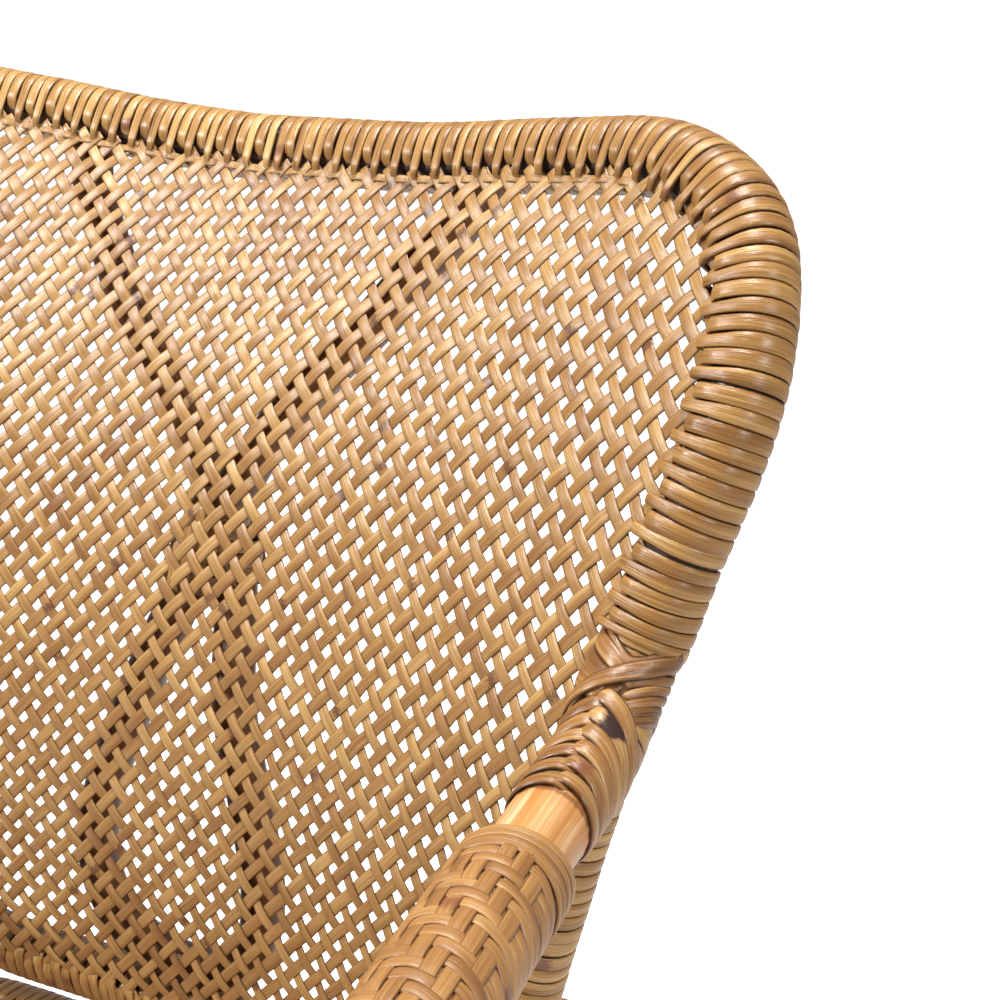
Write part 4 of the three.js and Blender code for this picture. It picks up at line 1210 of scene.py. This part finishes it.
def windShadeCore(name, path, start, end, radius, faceOf, node, inwardSign, reach):
    # A dark body under a rim's winding, as painted shade: it shows between the tips of its turns where the recess
    # lies in shadow.
    s = np.arange(start, end, core["step"])
    frames = sectionFrames(path, s, faceOf, inwardSign)
    lift = wrap["noseLift"] - core["lower"] - chair["poleRadius"] + radius
    noses = (reach * levelShare(frames[1]), np.full(len(s), lift), core["noseRadius"])
    hull = smoothHull(hullCurves(radius - core["thinner"], *noses), core["stations"])
    rings = ringPlaces(frames, hull[:, 0], hull[:, 1])
    rings = rings if inwardSign > 0 else rings[:, ::-1]
    finishPiece(tubeFrom(name, rings, core["step"]), shadePacking, "cane_binding", node)


rims = {
    "upper": {"short": 120 * mm, "noses": (12 * mm, 5.2 * mm), "slant": 2.6 * mm, "tips": 0.6, "shadeCoreReach": 10 * mm},
    "lower": {"noses": (8 * mm, 5 * mm), "shadeCoreReach": 7 * mm, "coreShort": 30 * mm},
}
coverStarts = {}
for name, sign in sides.items():
    coverStarts[name] = coverEdge(name, "start")
    rim = rims["upper"]
    run = (hoopPaths[name], hoopStarts[name], coverStarts[name] - rim["short"], chair["poleRadius"], backFront,
           "upper_rim_binding_" + name, sign)
    windStrand("upperRimWrap." + name, *run, noses=edgeNoses(*rim["noses"]), slant=rim["slant"], tips=rim["tips"])
    windShadeCore("upperRimShadeCore." + name, *run, rim["shadeCoreReach"])
rim, short = rims["lower"], poleEnds["lowerRim"]
windStrand("lowerRimWrap", lowerPath, short, lowerPath.total - short, chair["lowerRimRadius"],
           backFront, "lower_rim_binding", noses=edgeNoses(*rim["noses"]))
windShadeCore("lowerRimShadeCore", lowerPath, rim["coreShort"], lowerPath.total - rim["coreShort"], chair["lowerRimRadius"],
         backFront, "lower_rim_binding", 1, rim["shadeCoreReach"])

# A strip along the woven back's upper edge, which its strands' ends are tucked under. Its loop is
# closed at a point below, and the places next to that point are left out.
edgeStrip = {
    "lowest": 25 * mm,
    "sortedRound": 60 * mm,
    "closedAt": -100 * mm,
    "inset": 15.5 * mm,
    "halfLength": 232 * mm,
    "step": 2 * mm,
    "wave": 0.8 * mm,
    "sunk": 0.1 * mm,
    "halfWidth": 1.9 * mm,
    "thickness": 0.8 * mm,
    "seed": 0.35,
}
upperLoop = rimLoop[rimLoop[:, 1] > edgeStrip["lowest"]]
upperLoop = upperLoop[np.argsort(np.arctan2(upperLoop[:, 0], upperLoop[:, 1] + edgeStrip["sortedRound"]))]
edge = insetLoop(np.concatenate([upperLoop, [[0, edgeStrip["closedAt"]]]]), edgeStrip["inset"])[2:-3]
edge = evenly(edge[np.abs(edge[:, 0]) < edgeStrip["halfLength"]], edgeStrip["step"])
edgeS, edgeT = flattenBack(edge[:, 0], edge[:, 1])
over = np.sin(2 * np.pi * edgeS / (2 ** 0.5 * weave["risingPitch"]))
places, front = placeOnBack(edgeS, edgeT, edgeStrip["wave"] * over - edgeStrip["sunk"])
piece = sweptMesh("backEdgeStrip", places, front, np.zeros(len(edge), int), edgeStrip["halfWidth"],
                  edgeStrip["thickness"], edgeStrip["seed"])
finishPiece(piece, caneWeave, "cane_weave", "woven_back")
print("stage: wound cane")


# Strands laid on a surface round a pole

def tubeGrid(path, first, last, section, faceOf, inwardSign, spacing=1.5 * mm):
    # Places and outward directions on the surface, by arc length and by direction round the pole.
    s = np.arange(first, last, spacing)
    frames = sectionFrames(path, s, faceOf, inwardSign)
    centre, tangent, face, inward = frames
    across, up, turn = section(np.arange(len(s)), frames)
    places = ringPlaces(frames, across, up)
    outward = inward[:, None] * np.cos(turn)[None, :, None] + face[:, None] * np.sin(turn)[None, :, None]
    return {"first": first, "spacing": spacing, "places": places, "outward": outward, "across": across, "up": up}


def layOn(grid, s, degrees, lift):
    # Degrees are counted from the top, rising to the inner side. Values between the grid's corners
    # are mixed by their shares.
    rows, columns = grid["places"].shape[:2]
    row = np.clip((s - grid["first"]) / grid["spacing"], 0, rows - 1.001)
    column = np.clip((180 - degrees) / 360 * (columns - 1), 0, columns - 1.001)
    r, c = row.astype(int), column.astype(int)
    u, v = (row - r)[:, None], (column - c)[:, None]

    def mixed(values):
        near = values[r, c] * (1 - v) + values[r, c + 1] * v
        far = values[r + 1, c] * (1 - v) + values[r + 1, c + 1] * v
        return near * (1 - u) + far * u

    ups = unit(mixed(grid["outward"]))
    return mixed(grid["places"]) + ups * np.broadcast_to(lift, len(s))[:, None], ups


def bundle(name, strands, thickness, material, slotName, *nodes, spacing=2 * mm, profile=caneProfile):
    # Strands given as (centres, ups, half widths) or with a burn mark last, made one piece.
    rows, order = [], []
    for number, (centres, ups, halves, *burn) in enumerate(strands):
        count = len(centres)
        burnt = burn[0] if burn else np.zeros(count)
        table = np.column_stack([centres, ups, np.broadcast_to(halves, count), burnt])
        lengths = runLengths(centres)
        marks = np.linspace(0, lengths[-1], max(3, int(lengths[-1] / spacing)))
        rows.append(readAt(marks, lengths, table))
        order.append(np.full(len(marks), number))
    table, order = np.concatenate(rows), np.concatenate(order)
    seeds = rng.uniform(0, 1, len(strands))[order]
    piece = sweptMesh(name, table[:, :3], unit(table[:, 3:6]), order, table[:, 6], thickness, seeds, profile,
                      burn=table[:, 7])
    finishPiece(piece, material, slotName, *nodes)


def throughMarks(marks, count=60, perDegree=0.28):
    # A smooth run through rows of (arc length in mm, degrees, lift in mm). A degree counts as its
    # length in mm on the pole.
    fine = evenly(centripetal(np.asarray(marks, float) * np.array([1, perDegree, 1])), 1.0)
    fine = readAt(np.linspace(0, len(fine) - 1, count), np.arange(len(fine)), fine)
    return fine[:, 0] * mm, fine[:, 1] / perDegree, fine[:, 2] * mm


joint = {
    "over": 0.2 * mm,  # the plait's surface above the bare pole
    "surface": (160 * mm, 15 * mm),  # from and to, before the arm cover
    "underWrap": {"from": 124 * mm, "to": 38 * mm, "thinner": 1.2 * mm, "pitch": 6.6 * mm},
    "pairs": 6,
    "firstLeft": -84.0,
    "firstRight": -86.5,
    "step": 10.0,
    "leftSweep": [8.0, 9.0, 6.5, 4.5, 3.0, 2.0],
    "rightSweep": [13.0, 11.5, 9.0, 6.5, 4.5, 2.5],
    "ridge": [-7, -5, -8, -12, -14, -17],
    "halfWidths": {"arm": 3.8 * mm, "fan": 4.2 * mm, "flank": 2.15 * mm, "long": 3.8 * mm},
    "thickness": 1.4 * mm,
    # rows of (mm from the arm cover, degrees from the top, lift in mm)
    "long": [
        [(-74, 125, 0.8), (-82, 92, 1.2), (-87, 62, 1.7), (-92, 24, 2.1), (-98, -7, 2.2), (-106, -36, 1.6),
         (-115, -71, 0.9), (-122, -115, 0.3)],
    ],
    "fan": [
        [(-142, 88, -1.2), (-132, 70, 0.4), (-120, 45, 0.9), (-111, 10, 0.9), (-103, -18, 0.4), (-98, -34, -0.3)],
        [(-132, 96, 0.0), (-122, 78, 0.8), (-109, 50, 1.3), (-100, 22, 1.1), (-95, 0, 0.4), (-91, -16, -0.2)],
        [(-120, 104, 0.4), (-112, 84, 0.9), (-100, 56, 1.5), (-93, 28, 1.1), (-89, 8, 0.2)],
        [(-126, 30, -0.8), (-117, 12, 0.0), (-107, -20, 0.4), (-110, -46, 0.3), (-117, -74, 0.0),
         (-119, -110, -0.3)],
    ],
    "flank": [
        [(-95, -16, -1.4), (-100, -36, 0.0), (-108, -72, 0.2), (-113, -112, -0.2)],
        [(-90, -22, -1.4), (-95, -42, 0.1), (-103, -72, 0.3), (-109, -114, -0.2)],
        [(-86, -28, -1.4), (-91, -48, 0.1), (-98, -74, 0.3), (-105, -116, -0.2)],
        [(-83, -34, -1.4), (-87, -54, 0.0), (-93, -76, 0.2), (-100, -118, -0.2)],
        [(-80, -42, -1.4), (-84, -60, 0.0), (-89, -80, 0.1), (-96, -120, -0.2)],
    ],
}


plaitArm = {  # runs are (first degree, degrees to go), lifts are in mm
    "span": (-16, 176),
    "stations": 96,
    "tucked": -0.7,
    "leftRise": 1.7, "leftRiseRun": (-12, 24),
    "leftFall": 0.6, "leftFallRun": (40, 60),
    "leftThin": 0.12, "leftThinRun": (70, 60),
    "rightRise": 2.0, "rightRiseRun": (-13, 15),
    "rightFall": 1.3, "rightFallRun": (20, 60),
    "rightThin": 0.2, "rightThinRun": (90, 60),
    "rightBehind": 4,
    "lastSettled": 0.45,
    "ridgeTurn": 5,
    "burntPair": 1, "burnAt": 27, "burnSpread": 14, "burnLeast": 0.1,
    "sweepSize": 2.2, "sweepPower": 1.2, "sweepTurn": 0.6, "sweepLimit": 150,
}


def passed(degrees, first, toGo):
    # The share of a run that is done: (degrees - first) / toGo, from nought to one.
    return np.clip((degrees - first) / toGo, 0, 1)


def eased(degrees, first, toGo):
    # That share made smooth: its square times three less twice the share.
    share = passed(degrees, first, toGo)
    return share * share * (3 - 2 * share)


def sweep(degrees):
    # How far along an arm of the plait has gone by an angle: fast at first, then square to the pole.
    limit = plaitArm["sweepLimit"]
    turned = np.sin(np.radians(plaitArm["sweepTurn"] * np.clip(degrees, -limit, limit)))
    return plaitArm["sweepSize"] * np.sign(turned) * np.abs(turned) ** plaitArm["sweepPower"]


def plaitArms(grid, base):
    # Each pair is a left arm and a right arm that lies over the next left arm's end.
    strands = []
    arm, width, pairs = plaitArm, joint["halfWidths"]["arm"], range(joint["pairs"])
    degrees = np.linspace(*arm["span"], arm["stations"])
    settled = [0.0] * (len(pairs) - 1) + [arm["lastSettled"]]
    thin = passed(degrees, *arm["leftThinRun"])
    for k in pairs:
        s = joint["firstLeft"] + joint["step"] * k + joint["leftSweep"][k] * sweep(degrees)
        lift = arm["tucked"] + arm["leftRise"] * eased(degrees, *arm["leftRiseRun"])
        lift = lift - arm["leftFall"] * eased(degrees, *arm["leftFallRun"])
        turned = degrees + (joint["ridge"][k] + arm["ridgeTurn"]) * (1 - thin)
        places = layOn(grid, base + s * mm, turned, (lift - settled[k]) * mm)
        strands.append((*places, width * (1 - arm["leftThin"] * thin)))
    thin = passed(degrees, *arm["rightThinRun"])
    fallen = eased(degrees, *arm["rightFallRun"])
    burn = np.exp(-((degrees - arm["burnAt"]) / arm["burnSpread"]) ** 2) + arm["burnLeast"]
    for k in pairs:
        s = joint["firstRight"] + joint["step"] * k + joint["rightSweep"][k] * sweep(degrees - arm["rightBehind"])
        lift = arm["tucked"] + arm["rightRise"] * eased(degrees, *arm["rightRiseRun"])
        lift = lift - arm["rightFall"] * fallen - settled[k] * (1 - fallen)
        turned = -degrees + (joint["ridge"][k] + arm["ridgeTurn"]) * (1 - fallen)
        places = layOn(grid, base + s * mm, turned, lift * mm)
        strands.append((*places, width * (1 - arm["rightThin"] * thin), burn * (k == arm["burntPair"])))
    return strands


for name, sign in sides.items():
    path, base = hoopPaths[name], coverStarts[name]
    wound = joint["underWrap"]
    windStrand("jointUnderWrap." + name, path, base - wound["from"], base - wound["to"],
               chair["poleRadius"] - wound["thinner"], upwards, None, inwardSign=sign, noses=lowerRimNoses,
               pitch=wound["pitch"])
    radius = chair["poleRadius"] + joint["over"]

    def jointSection(number, frames):
        return hullCurves(radius, *lowerRimNoses(number, radius, frames))

    first, last = (base - away for away in joint["surface"])
    grid = tubeGrid(path, first, last, jointSection, upwards, sign)
    strands = plaitArms(grid, base)
    for kind in ("fan", "flank", "long"):
        for marks in joint[kind]:
            s, degrees, lift = throughMarks(marks)
            strands.append((*layOn(grid, base + s, degrees, lift), joint["halfWidths"][kind]))
    bundle("jointPlait." + name, strands, joint["thickness"], canePlait, "cane_binding",
           "arm_joint_lashing_" + name, profile=roundedProfile)
print("stage: joint lashings")


# Arm covers

cover = {
    "halfWidth": 21 * mm,
    "halfHeight": 18.5 * mm,
    "surface": (5 * mm, 25 * mm),  # how far it goes on before the start and after the end
    "span": 178,  # degrees that a wrap goes round on each side of the top
    "stations": 150,
    "firstRing": 7 * mm,
    "ringPitch": 3.4 * mm,
    "rings": 4,
    "ringGap": 1.5 * mm,
    "ringLift": 0.5 * mm,
    "ringHalfWidth": 2.05 * mm,
    "pitch": 5.5 * mm,
    "wrapHalfWidth": 2.8 * mm,
    "widthSpread": 0.04,
    "placeSpread": 0.25 * mm,
    "strips": 6,
    "stripPitch": 5.9 * mm,
    "stripHalfWidth": 2.85 * mm,
    "stripThickness": 1.1 * mm,
    "stripLift": 0.15 * mm,
    "stripAhead": 4 * mm,
    "lean": 9 * mm,
    "leanOver": 30 * mm,
    "wave": 0.42 * mm,
    "thickness": 1.2 * mm,
    "clear": 0.1 * mm,
    "step": 1.6 * mm,
    "coreInset": (3.2 * mm, 3.0 * mm),
    "coreShort": (8 * mm, 4 * mm),
    "coreStep": 4 * mm,
    "coreEvery": 20,
}


def ovalSection(halfWidth, halfHeight):
    # The oval's point that faces each direction: its squared half axes times the cosine and sine,
    # over its support distance.
    def section(number, frames):
        c, s = np.cos(allRound), np.sin(allRound)
        support = np.hypot(halfWidth * c, halfHeight * s)
        across, up = halfWidth ** 2 * c / support, halfHeight ** 2 * s / support
        return np.tile(across, (len(number), 1)), np.tile(up, (len(number), 1)), allRound
    return section


def twillLift(i, j):
    # Strip i lies over wraps j and j + 1 and under the next two, one wrap further on for each strip.
    return np.where((j - i) % 4 < 2, 1.0, -1.0)


def armCover(name, path, base, end, sign):
    # Wraps go round an oval, and strips along it. The height of each is the wave times the sine of a
    # level between 1 and -1, which the twill gives where the two cross.
    inset = cover["thickness"] + cover["wave"] + cover["clear"]
    section = ovalSection(cover["halfWidth"] - inset, cover["halfHeight"] - inset)
    grid = tubeGrid(path, base - cover["surface"][0], end + cover["surface"][1], section, upwards, sign)
    degrees = np.linspace(cover["span"], -cover["span"], cover["stations"])
    columns = np.linspace(-180, 180, len(allRound))
    across, up = (np.interp(degrees, columns, grid[key][0][::-1]) for key in ("across", "up"))
    lengths = runningSum(np.hypot(np.diff(across), np.diff(up)))
    # Outward is the distance round the oval from its top, towards the chair's outer side.
    outward = lengths - np.interp(cover["span"], cover["span"] - degrees, lengths)
    lean = cover["lean"] * np.clip(outward / cover["leanOver"], 0, 1) ** 1.5
    strips = np.arange(cover["strips"])
    middles = (strips - (cover["strips"] - 1) / 2) * cover["stripPitch"]
    beside = middles[-1] + cover["stripPitch"]
    rings = range(cover["rings"])
    first = base + cover["firstRing"] + cover["rings"] * cover["ringPitch"] + cover["ringGap"]
    last = end - rings[-1] * cover["ringPitch"] - 2 * cover["ringGap"]
    numbers = np.arange(int((last - first - cover["lean"]) / cover["pitch"]))
    wraps = []
    for j in numbers:
        level = np.interp(outward, [-beside, *middles, beside], [0, *-twillLift(strips, j), 0])
        lift = cover["wave"] * np.sin(level * np.pi / 2)
        s = first + cover["pitch"] * j + lean + rng.normal(0, cover["placeSpread"])
        wraps.append((*layOn(grid, s, degrees, lift), cover["wrapHalfWidth"] * rng.normal(1, cover["widthSpread"])))
    ends = [base + cover["firstRing"] + cover["ringPitch"] * r + lean * r / cover["rings"] for r in rings]
    ends += [end - cover["ringPitch"] * r + lean * r / cover["rings"] - cover["ringGap"] for r in rings[::-1]]
    wraps += [(*layOn(grid, s, degrees, cover["ringLift"]), cover["ringHalfWidth"]) for s in ends]
    strands = []
    for i, middle in zip(strips, middles):
        across, ahead = (np.interp(middle, outward, values) for values in (degrees, lean))
        s = np.arange(first - cover["stripAhead"], last, 1.0 * mm)
        level = np.interp(s, first + cover["pitch"] * numbers + ahead, twillLift(i, numbers))
        lift = cover["wave"] * np.sin(level * np.pi / 2) + cover["stripLift"]
        strands.append((*layOn(grid, s, np.full(len(s), across), lift), cover["stripHalfWidth"]))
    looks = (caneCover, "cane_weave", "arm_cover_" + name)
    bundle("armCoverWraps." + name, wraps, cover["thickness"], *looks, spacing=cover["step"])
    bundle("armCoverStrips." + name, strands, cover["stripThickness"], *looks, spacing=cover["step"])
    inner = ovalSection(cover["halfWidth"] - cover["coreInset"][0], cover["halfHeight"] - cover["coreInset"][1])
    core = tubeGrid(path, base + cover["coreShort"][0], end - cover["coreShort"][1], inner, upwards, sign,
                    spacing=cover["coreStep"])
    piece = tubeFrom("armCoverCore." + name, core["places"][:, :-1:cover["coreEvery"]], cover["coreStep"])
    finishPiece(piece, caneWeave, "cane_weave", "arm_cover_" + name)


for name, sign in sides.items():
    armCover(name, hoopPaths[name], coverStarts[name], coverEdge(name, "end"), sign)
print("stage: arm covers")


# Lashings at crossings

lashing = {
    "reach": 23 * mm,
    "over": 0.5 * mm,
    "diagonal": [-12.5, -6.3, 0.0, 6.3, 12.5],
    "ends": [-20.0, -14.2, 14.2, 20.0],
    "lifts": (0.5 * mm, 1.1 * mm),
    "halfWidth": 3.0 * mm,
    "thickness": 1.25 * mm,
    "step": 2.2 * mm,
    "ringPoints": 24,
    "sideways": [0.31, 0.42, 0.85],
    "pointStep": 1.0 * mm,
    "smoothing": (9, 3.0),  # reach and width, in steps
    "overlap": 3,
    "rimSize": 0.68,
}


def runPoints(path, s, reach, radius):
    # Two rings of points round a short length of pole.
    centre, tangent = path.spot(s)
    side = unit(np.cross(tangent, lashing["sideways"]))
    circle = roundProfile(lashing["ringPoints"])
    ring = centre + radius * (side * circle[:, :1] + np.cross(tangent, side) * circle[:, 1:])
    return np.concatenate([ring - tangent * reach, ring + tangent * reach])


def hullOf(points):
    # Corners and edges of the smallest convex body round the points.
    body = bmesh.new()
    for point in points:
        body.verts.new(point)
    made = bmesh.ops.convex_hull(body, input=body.verts)
    edges = [item for item in made["geom"] if isinstance(item, bmesh.types.BMEdge)]
    ends = np.array([[vert.co[:] for vert in edge.verts] for edge in edges])
    body.free()
    return ends


def loopRound(ends, middle, normal, lift):
    # Where a plane meets the body: each edge's ends lie at heights a and b over the plane, and the
    # crossing is at the share a / (a - b). The places are put in order round their middle.
    heights = ((ends - middle) * normal).sum(-1)
    cut = heights[:, 0] * heights[:, 1] < 0
    a, b = heights[cut].T
    places = ends[cut, 0] + (a / (a - b))[:, None] * (ends[cut, 1] - ends[cut, 0])
    centre = places.mean(0)
    side = unit(places[0] - centre)
    other = np.cross(normal, side)
    angle = np.arctan2((places - centre) @ other, (places - centre) @ side)
    places = places[np.argsort(angle)]
    even = evenly(np.concatenate([places, places[:1]]), lashing["pointStep"])[:-1]
    reach = lashing["smoothing"][0]
    smooth = bellMean(np.concatenate([even[-reach:], even, even[:reach]]), *lashing["smoothing"])
    closed = np.concatenate([smooth, smooth[:lashing["overlap"]]])
    ups = unit(np.cross(np.gradient(closed, axis=0), normal))
    if ((closed - centre) * ups).sum() < 0:
        ups = -ups
    return closed + ups * lift, ups


def lashCrossing(name, node, runs, size=1.0):
    # Turns round both poles: some square to each, and above them two slanting sets that cross.
    ends = hullOf(np.concatenate([runPoints(path, s, lashing["reach"] * size, radius + lashing["over"])
                                  for path, s, radius in runs]))
    spots = [path.spot(s) for path, s, radius in runs]
    first, second = (tangent for place, tangent in spots)
    middle = sum(place for place, tangent in spots) / 2
    sets = [(first, "ends", 0.0), (second, "ends", 0.0),
            (unit(first - second), "diagonal", lashing["lifts"][0]),
            (unit(first + second), "diagonal", lashing["lifts"][1])]
    strands = [(*loopRound(ends, middle + normal * offset * size * mm, normal, lift), lashing["halfWidth"])
               for normal, kind, lift in sets for offset in lashing[kind]]
    bundle(name, strands, lashing["thickness"], caneWrap, "cane_binding", node, spacing=lashing["step"])


legContacts = {"front": (hoopPaths, frontSeat), "rear": (rearPaths, rearSeat)}
ringStops = {}
for place, (paths, seat) in legContacts.items():
    for name, sign in sides.items():
        spot = mirrored(seat, sign)
        ringStops[place, name] = ringPath.nearest(spot)
        leg = paths[name]
        runs = [(leg, leg.nearest(spot), chair["poleRadius"]),
                (ringPath, ringStops[place, name], chair["seatPoleRadius"] + seatPlan["caneThickness"])]
        lashCrossing("legLashing.%s.%s" % (place, name), "%s_leg_lashing_%s" % (place, name), runs)
for name, sign in sides.items():
    spot = lowerRimSeat(feet["rearRimDrop"], sign)
    runs = [(rearPaths[name], rearPaths[name].nearest(spot), chair["poleRadius"]),
            (lowerPath, lowerPath.nearest(spot), chair["lowerRimRadius"] + seatPlan["caneThickness"])]
    lashCrossing("backLegLashing." + name, "back_leg_lashing_" + name, runs, size=lashing["rimSize"])
crossingAway = np.linalg.norm((ribbonCurve.points - np.array(chair["crossing"]))[:, [0, 2]], axis=1)
halfway = len(crossingAway) // 2
passes = [ribbonCurve.lengths[crossingAway[:halfway].argmin()],
          ribbonCurve.lengths[halfway + crossingAway[halfway:].argmin()]]
lashCrossing("ribbonLashing", "ribbon_crossing_lashing", [(ribbonCurve, s, chair["ribbonRadius"]) for s in passes])
print("stage: lashings at crossings")


# Seat ring binding

seatWrap = {"overlap": 2 * mm, "noses": (11 * mm, 7.5 * mm)}
stops = [ringStops[key] for key in (("rear", "left"), ("front", "left"), ("front", "right"), ("rear", "right"))]
reach = lashing["reach"] - seatWrap["overlap"]
starts = [ringSpan[0], *(stop + reach for stop in stops)]
ends = [*(stop - reach for stop in stops), ringSpan[1]]
for name, start, end in zip(("rear_left", "left", "front", "right", "rear_right"), starts, ends):
    windStrand("seatWrap." + name, ringPath, start, end, chair["seatPoleRadius"], upwards,
               "seat_binding_" + name, noses=edgeNoses(*seatWrap["noses"]))
print("stage: seat ring binding")


# Slats, stretchers and braces

under = {
    "slats": {"front": -0.55, "middle": -0.02, "rear": 0.5},
    "slatRadius": 9 * mm,
    "slatTop": 411.7 * mm,
    "slatPoints": 9,
    "stretcherPoints": 5,
    "bracePoints": 15,
    "step": 6 * mm,
    "sides": 16,
    "stretcherRadius": 10 * mm,
    "sideHeight": 150 * mm,
    "crossHeight": 188 * mm,
    "braceRadius": 7.5 * mm,
    "braceReach": 95 * mm,
    "braceBend": 0.45,
    "bite": 12 * mm,  # how far short of a pole's centre an end stops
    "hoopOver": 600 * mm,  # a path that starts above this is a hoop, with its leg in the second half
}


def lowPlace(path, height):
    # The place on a leg at a height above the floor.
    leg = path.points[len(path.points) // 2:] if path.points[0][2] > under["hoopOver"] else path.points
    return leg[np.abs(leg[:, 2] - height).argmin()]


def strut(name, node, points, radius):
    # A thin pole between two others, which stops short of their centres by the bite.
    path, bite = Path(points), under["bite"]
    framePole(name, node, path, radius, rng.uniform(), start=bite, end=path.total - bite,
              spacing=under["step"], sides=under["sides"])


rightHalf = ringPath.points[(ringPath.points[:, 0] > 0) & (ringPath.lengths < ringPath.total / 2)]
for name, share in under["slats"].items():
    y = share * seatPlan["frontReach"] + originShift
    width = rightHalf[np.abs(rightHalf[:, 1] - y).argmin()][0]
    across = np.linspace(-1, 1, under["slatPoints"])
    z = under["slatTop"] - under["slatRadius"] - seatPanel["sag"] * (1 - across ** 2)
    points = np.stack([across * width, np.full(len(across), y), z], -1)
    strut("seatSlat." + name, "seat_slat_" + name, points, under["slatRadius"])
stretchers = [("sideStretcher." + name, "side_stretcher_" + name, "sideHeight", (hoopPaths[name], rearPaths[name]))
              for name in sides]
stretchers += [(place + "Stretcher", place + "_stretcher", "crossHeight", [paths[name] for name in sides])
               for place, paths in (("front", hoopPaths), ("rear", rearPaths))]
for name, node, height, paths in stretchers:
    ends = [lowPlace(path, under[height]) for path in paths]
    strut(name, node, np.linspace(*ends, under["stretcherPoints"]), under["stretcherRadius"])
ways = {"front": {"cross": 1, "side": -1}, "rear": {"cross": -1, "side": 1}}
for place, (paths, seat) in legContacts.items():
    for name, sign in sides.items():
        start, corner = (lowPlace(paths[name], seatPlan["height"] - drop) for drop in (under["braceReach"], 0))
        for run, way in ways[place].items():
            end = ringPath.spot(ringStops[place, name] + way * sign * under["braceReach"])[0]
            middle = (start + end) / 2
            middle = middle + (corner - middle) * under["braceBend"]
            t = np.linspace(0, 1, under["bracePoints"])[:, None]
            curve = (1 - t) ** 2 * start + 2 * t * (1 - t) * middle + t ** 2 * end
            strut("brace.%s.%s.%s" % (place, run, name), "%s_%s_brace_%s" % (place, run, name), curve,
                  under["braceRadius"])
print("stage: slats, stretchers and braces")


# Screws and glides keep their CAD shapes.

def plainMaterial(name, dark, light, roughness, metal, scale):
    # Two close tones and a fine grain, by the place on the object.
    sh = Shader(name)
    place = sh.node("ShaderNodeTexCoord").outputs["Object"]
    broad = sh.noise(place, scale=scale, detail=3.0)
    grain = sh.noise(place, scale=scale * 30, detail=2.0)
    sh.surface.inputs["Metallic"].default_value = metal
    spread, bump = 0.08, (0.0002, 0.4)
    return sh.finish(sh.ramp(broad, (0.3, 0.7), (dark, light)),
                     sh.mapped(grain, 0.3, 0.7, roughness - spread, roughness + spread), grain, *bump)


plainLooks = {
    "screw": plainMaterial("screwSteel", tone(150, 150, 148), tone(196, 196, 192), 0.32, 1.0, 90.0),
    "foot": plainMaterial("glidePlastic", tone(38, 34, 30), tone(56, 50, 44), 0.55, 0.0, 60.0),
}
for node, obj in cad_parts.items():
    if not obj.hide_render:
        obj.data.materials.clear()
        obj.data.materials.append(plainLooks.get(node.split("_")[0], barePole))
        print("CAD shape kept:", node)
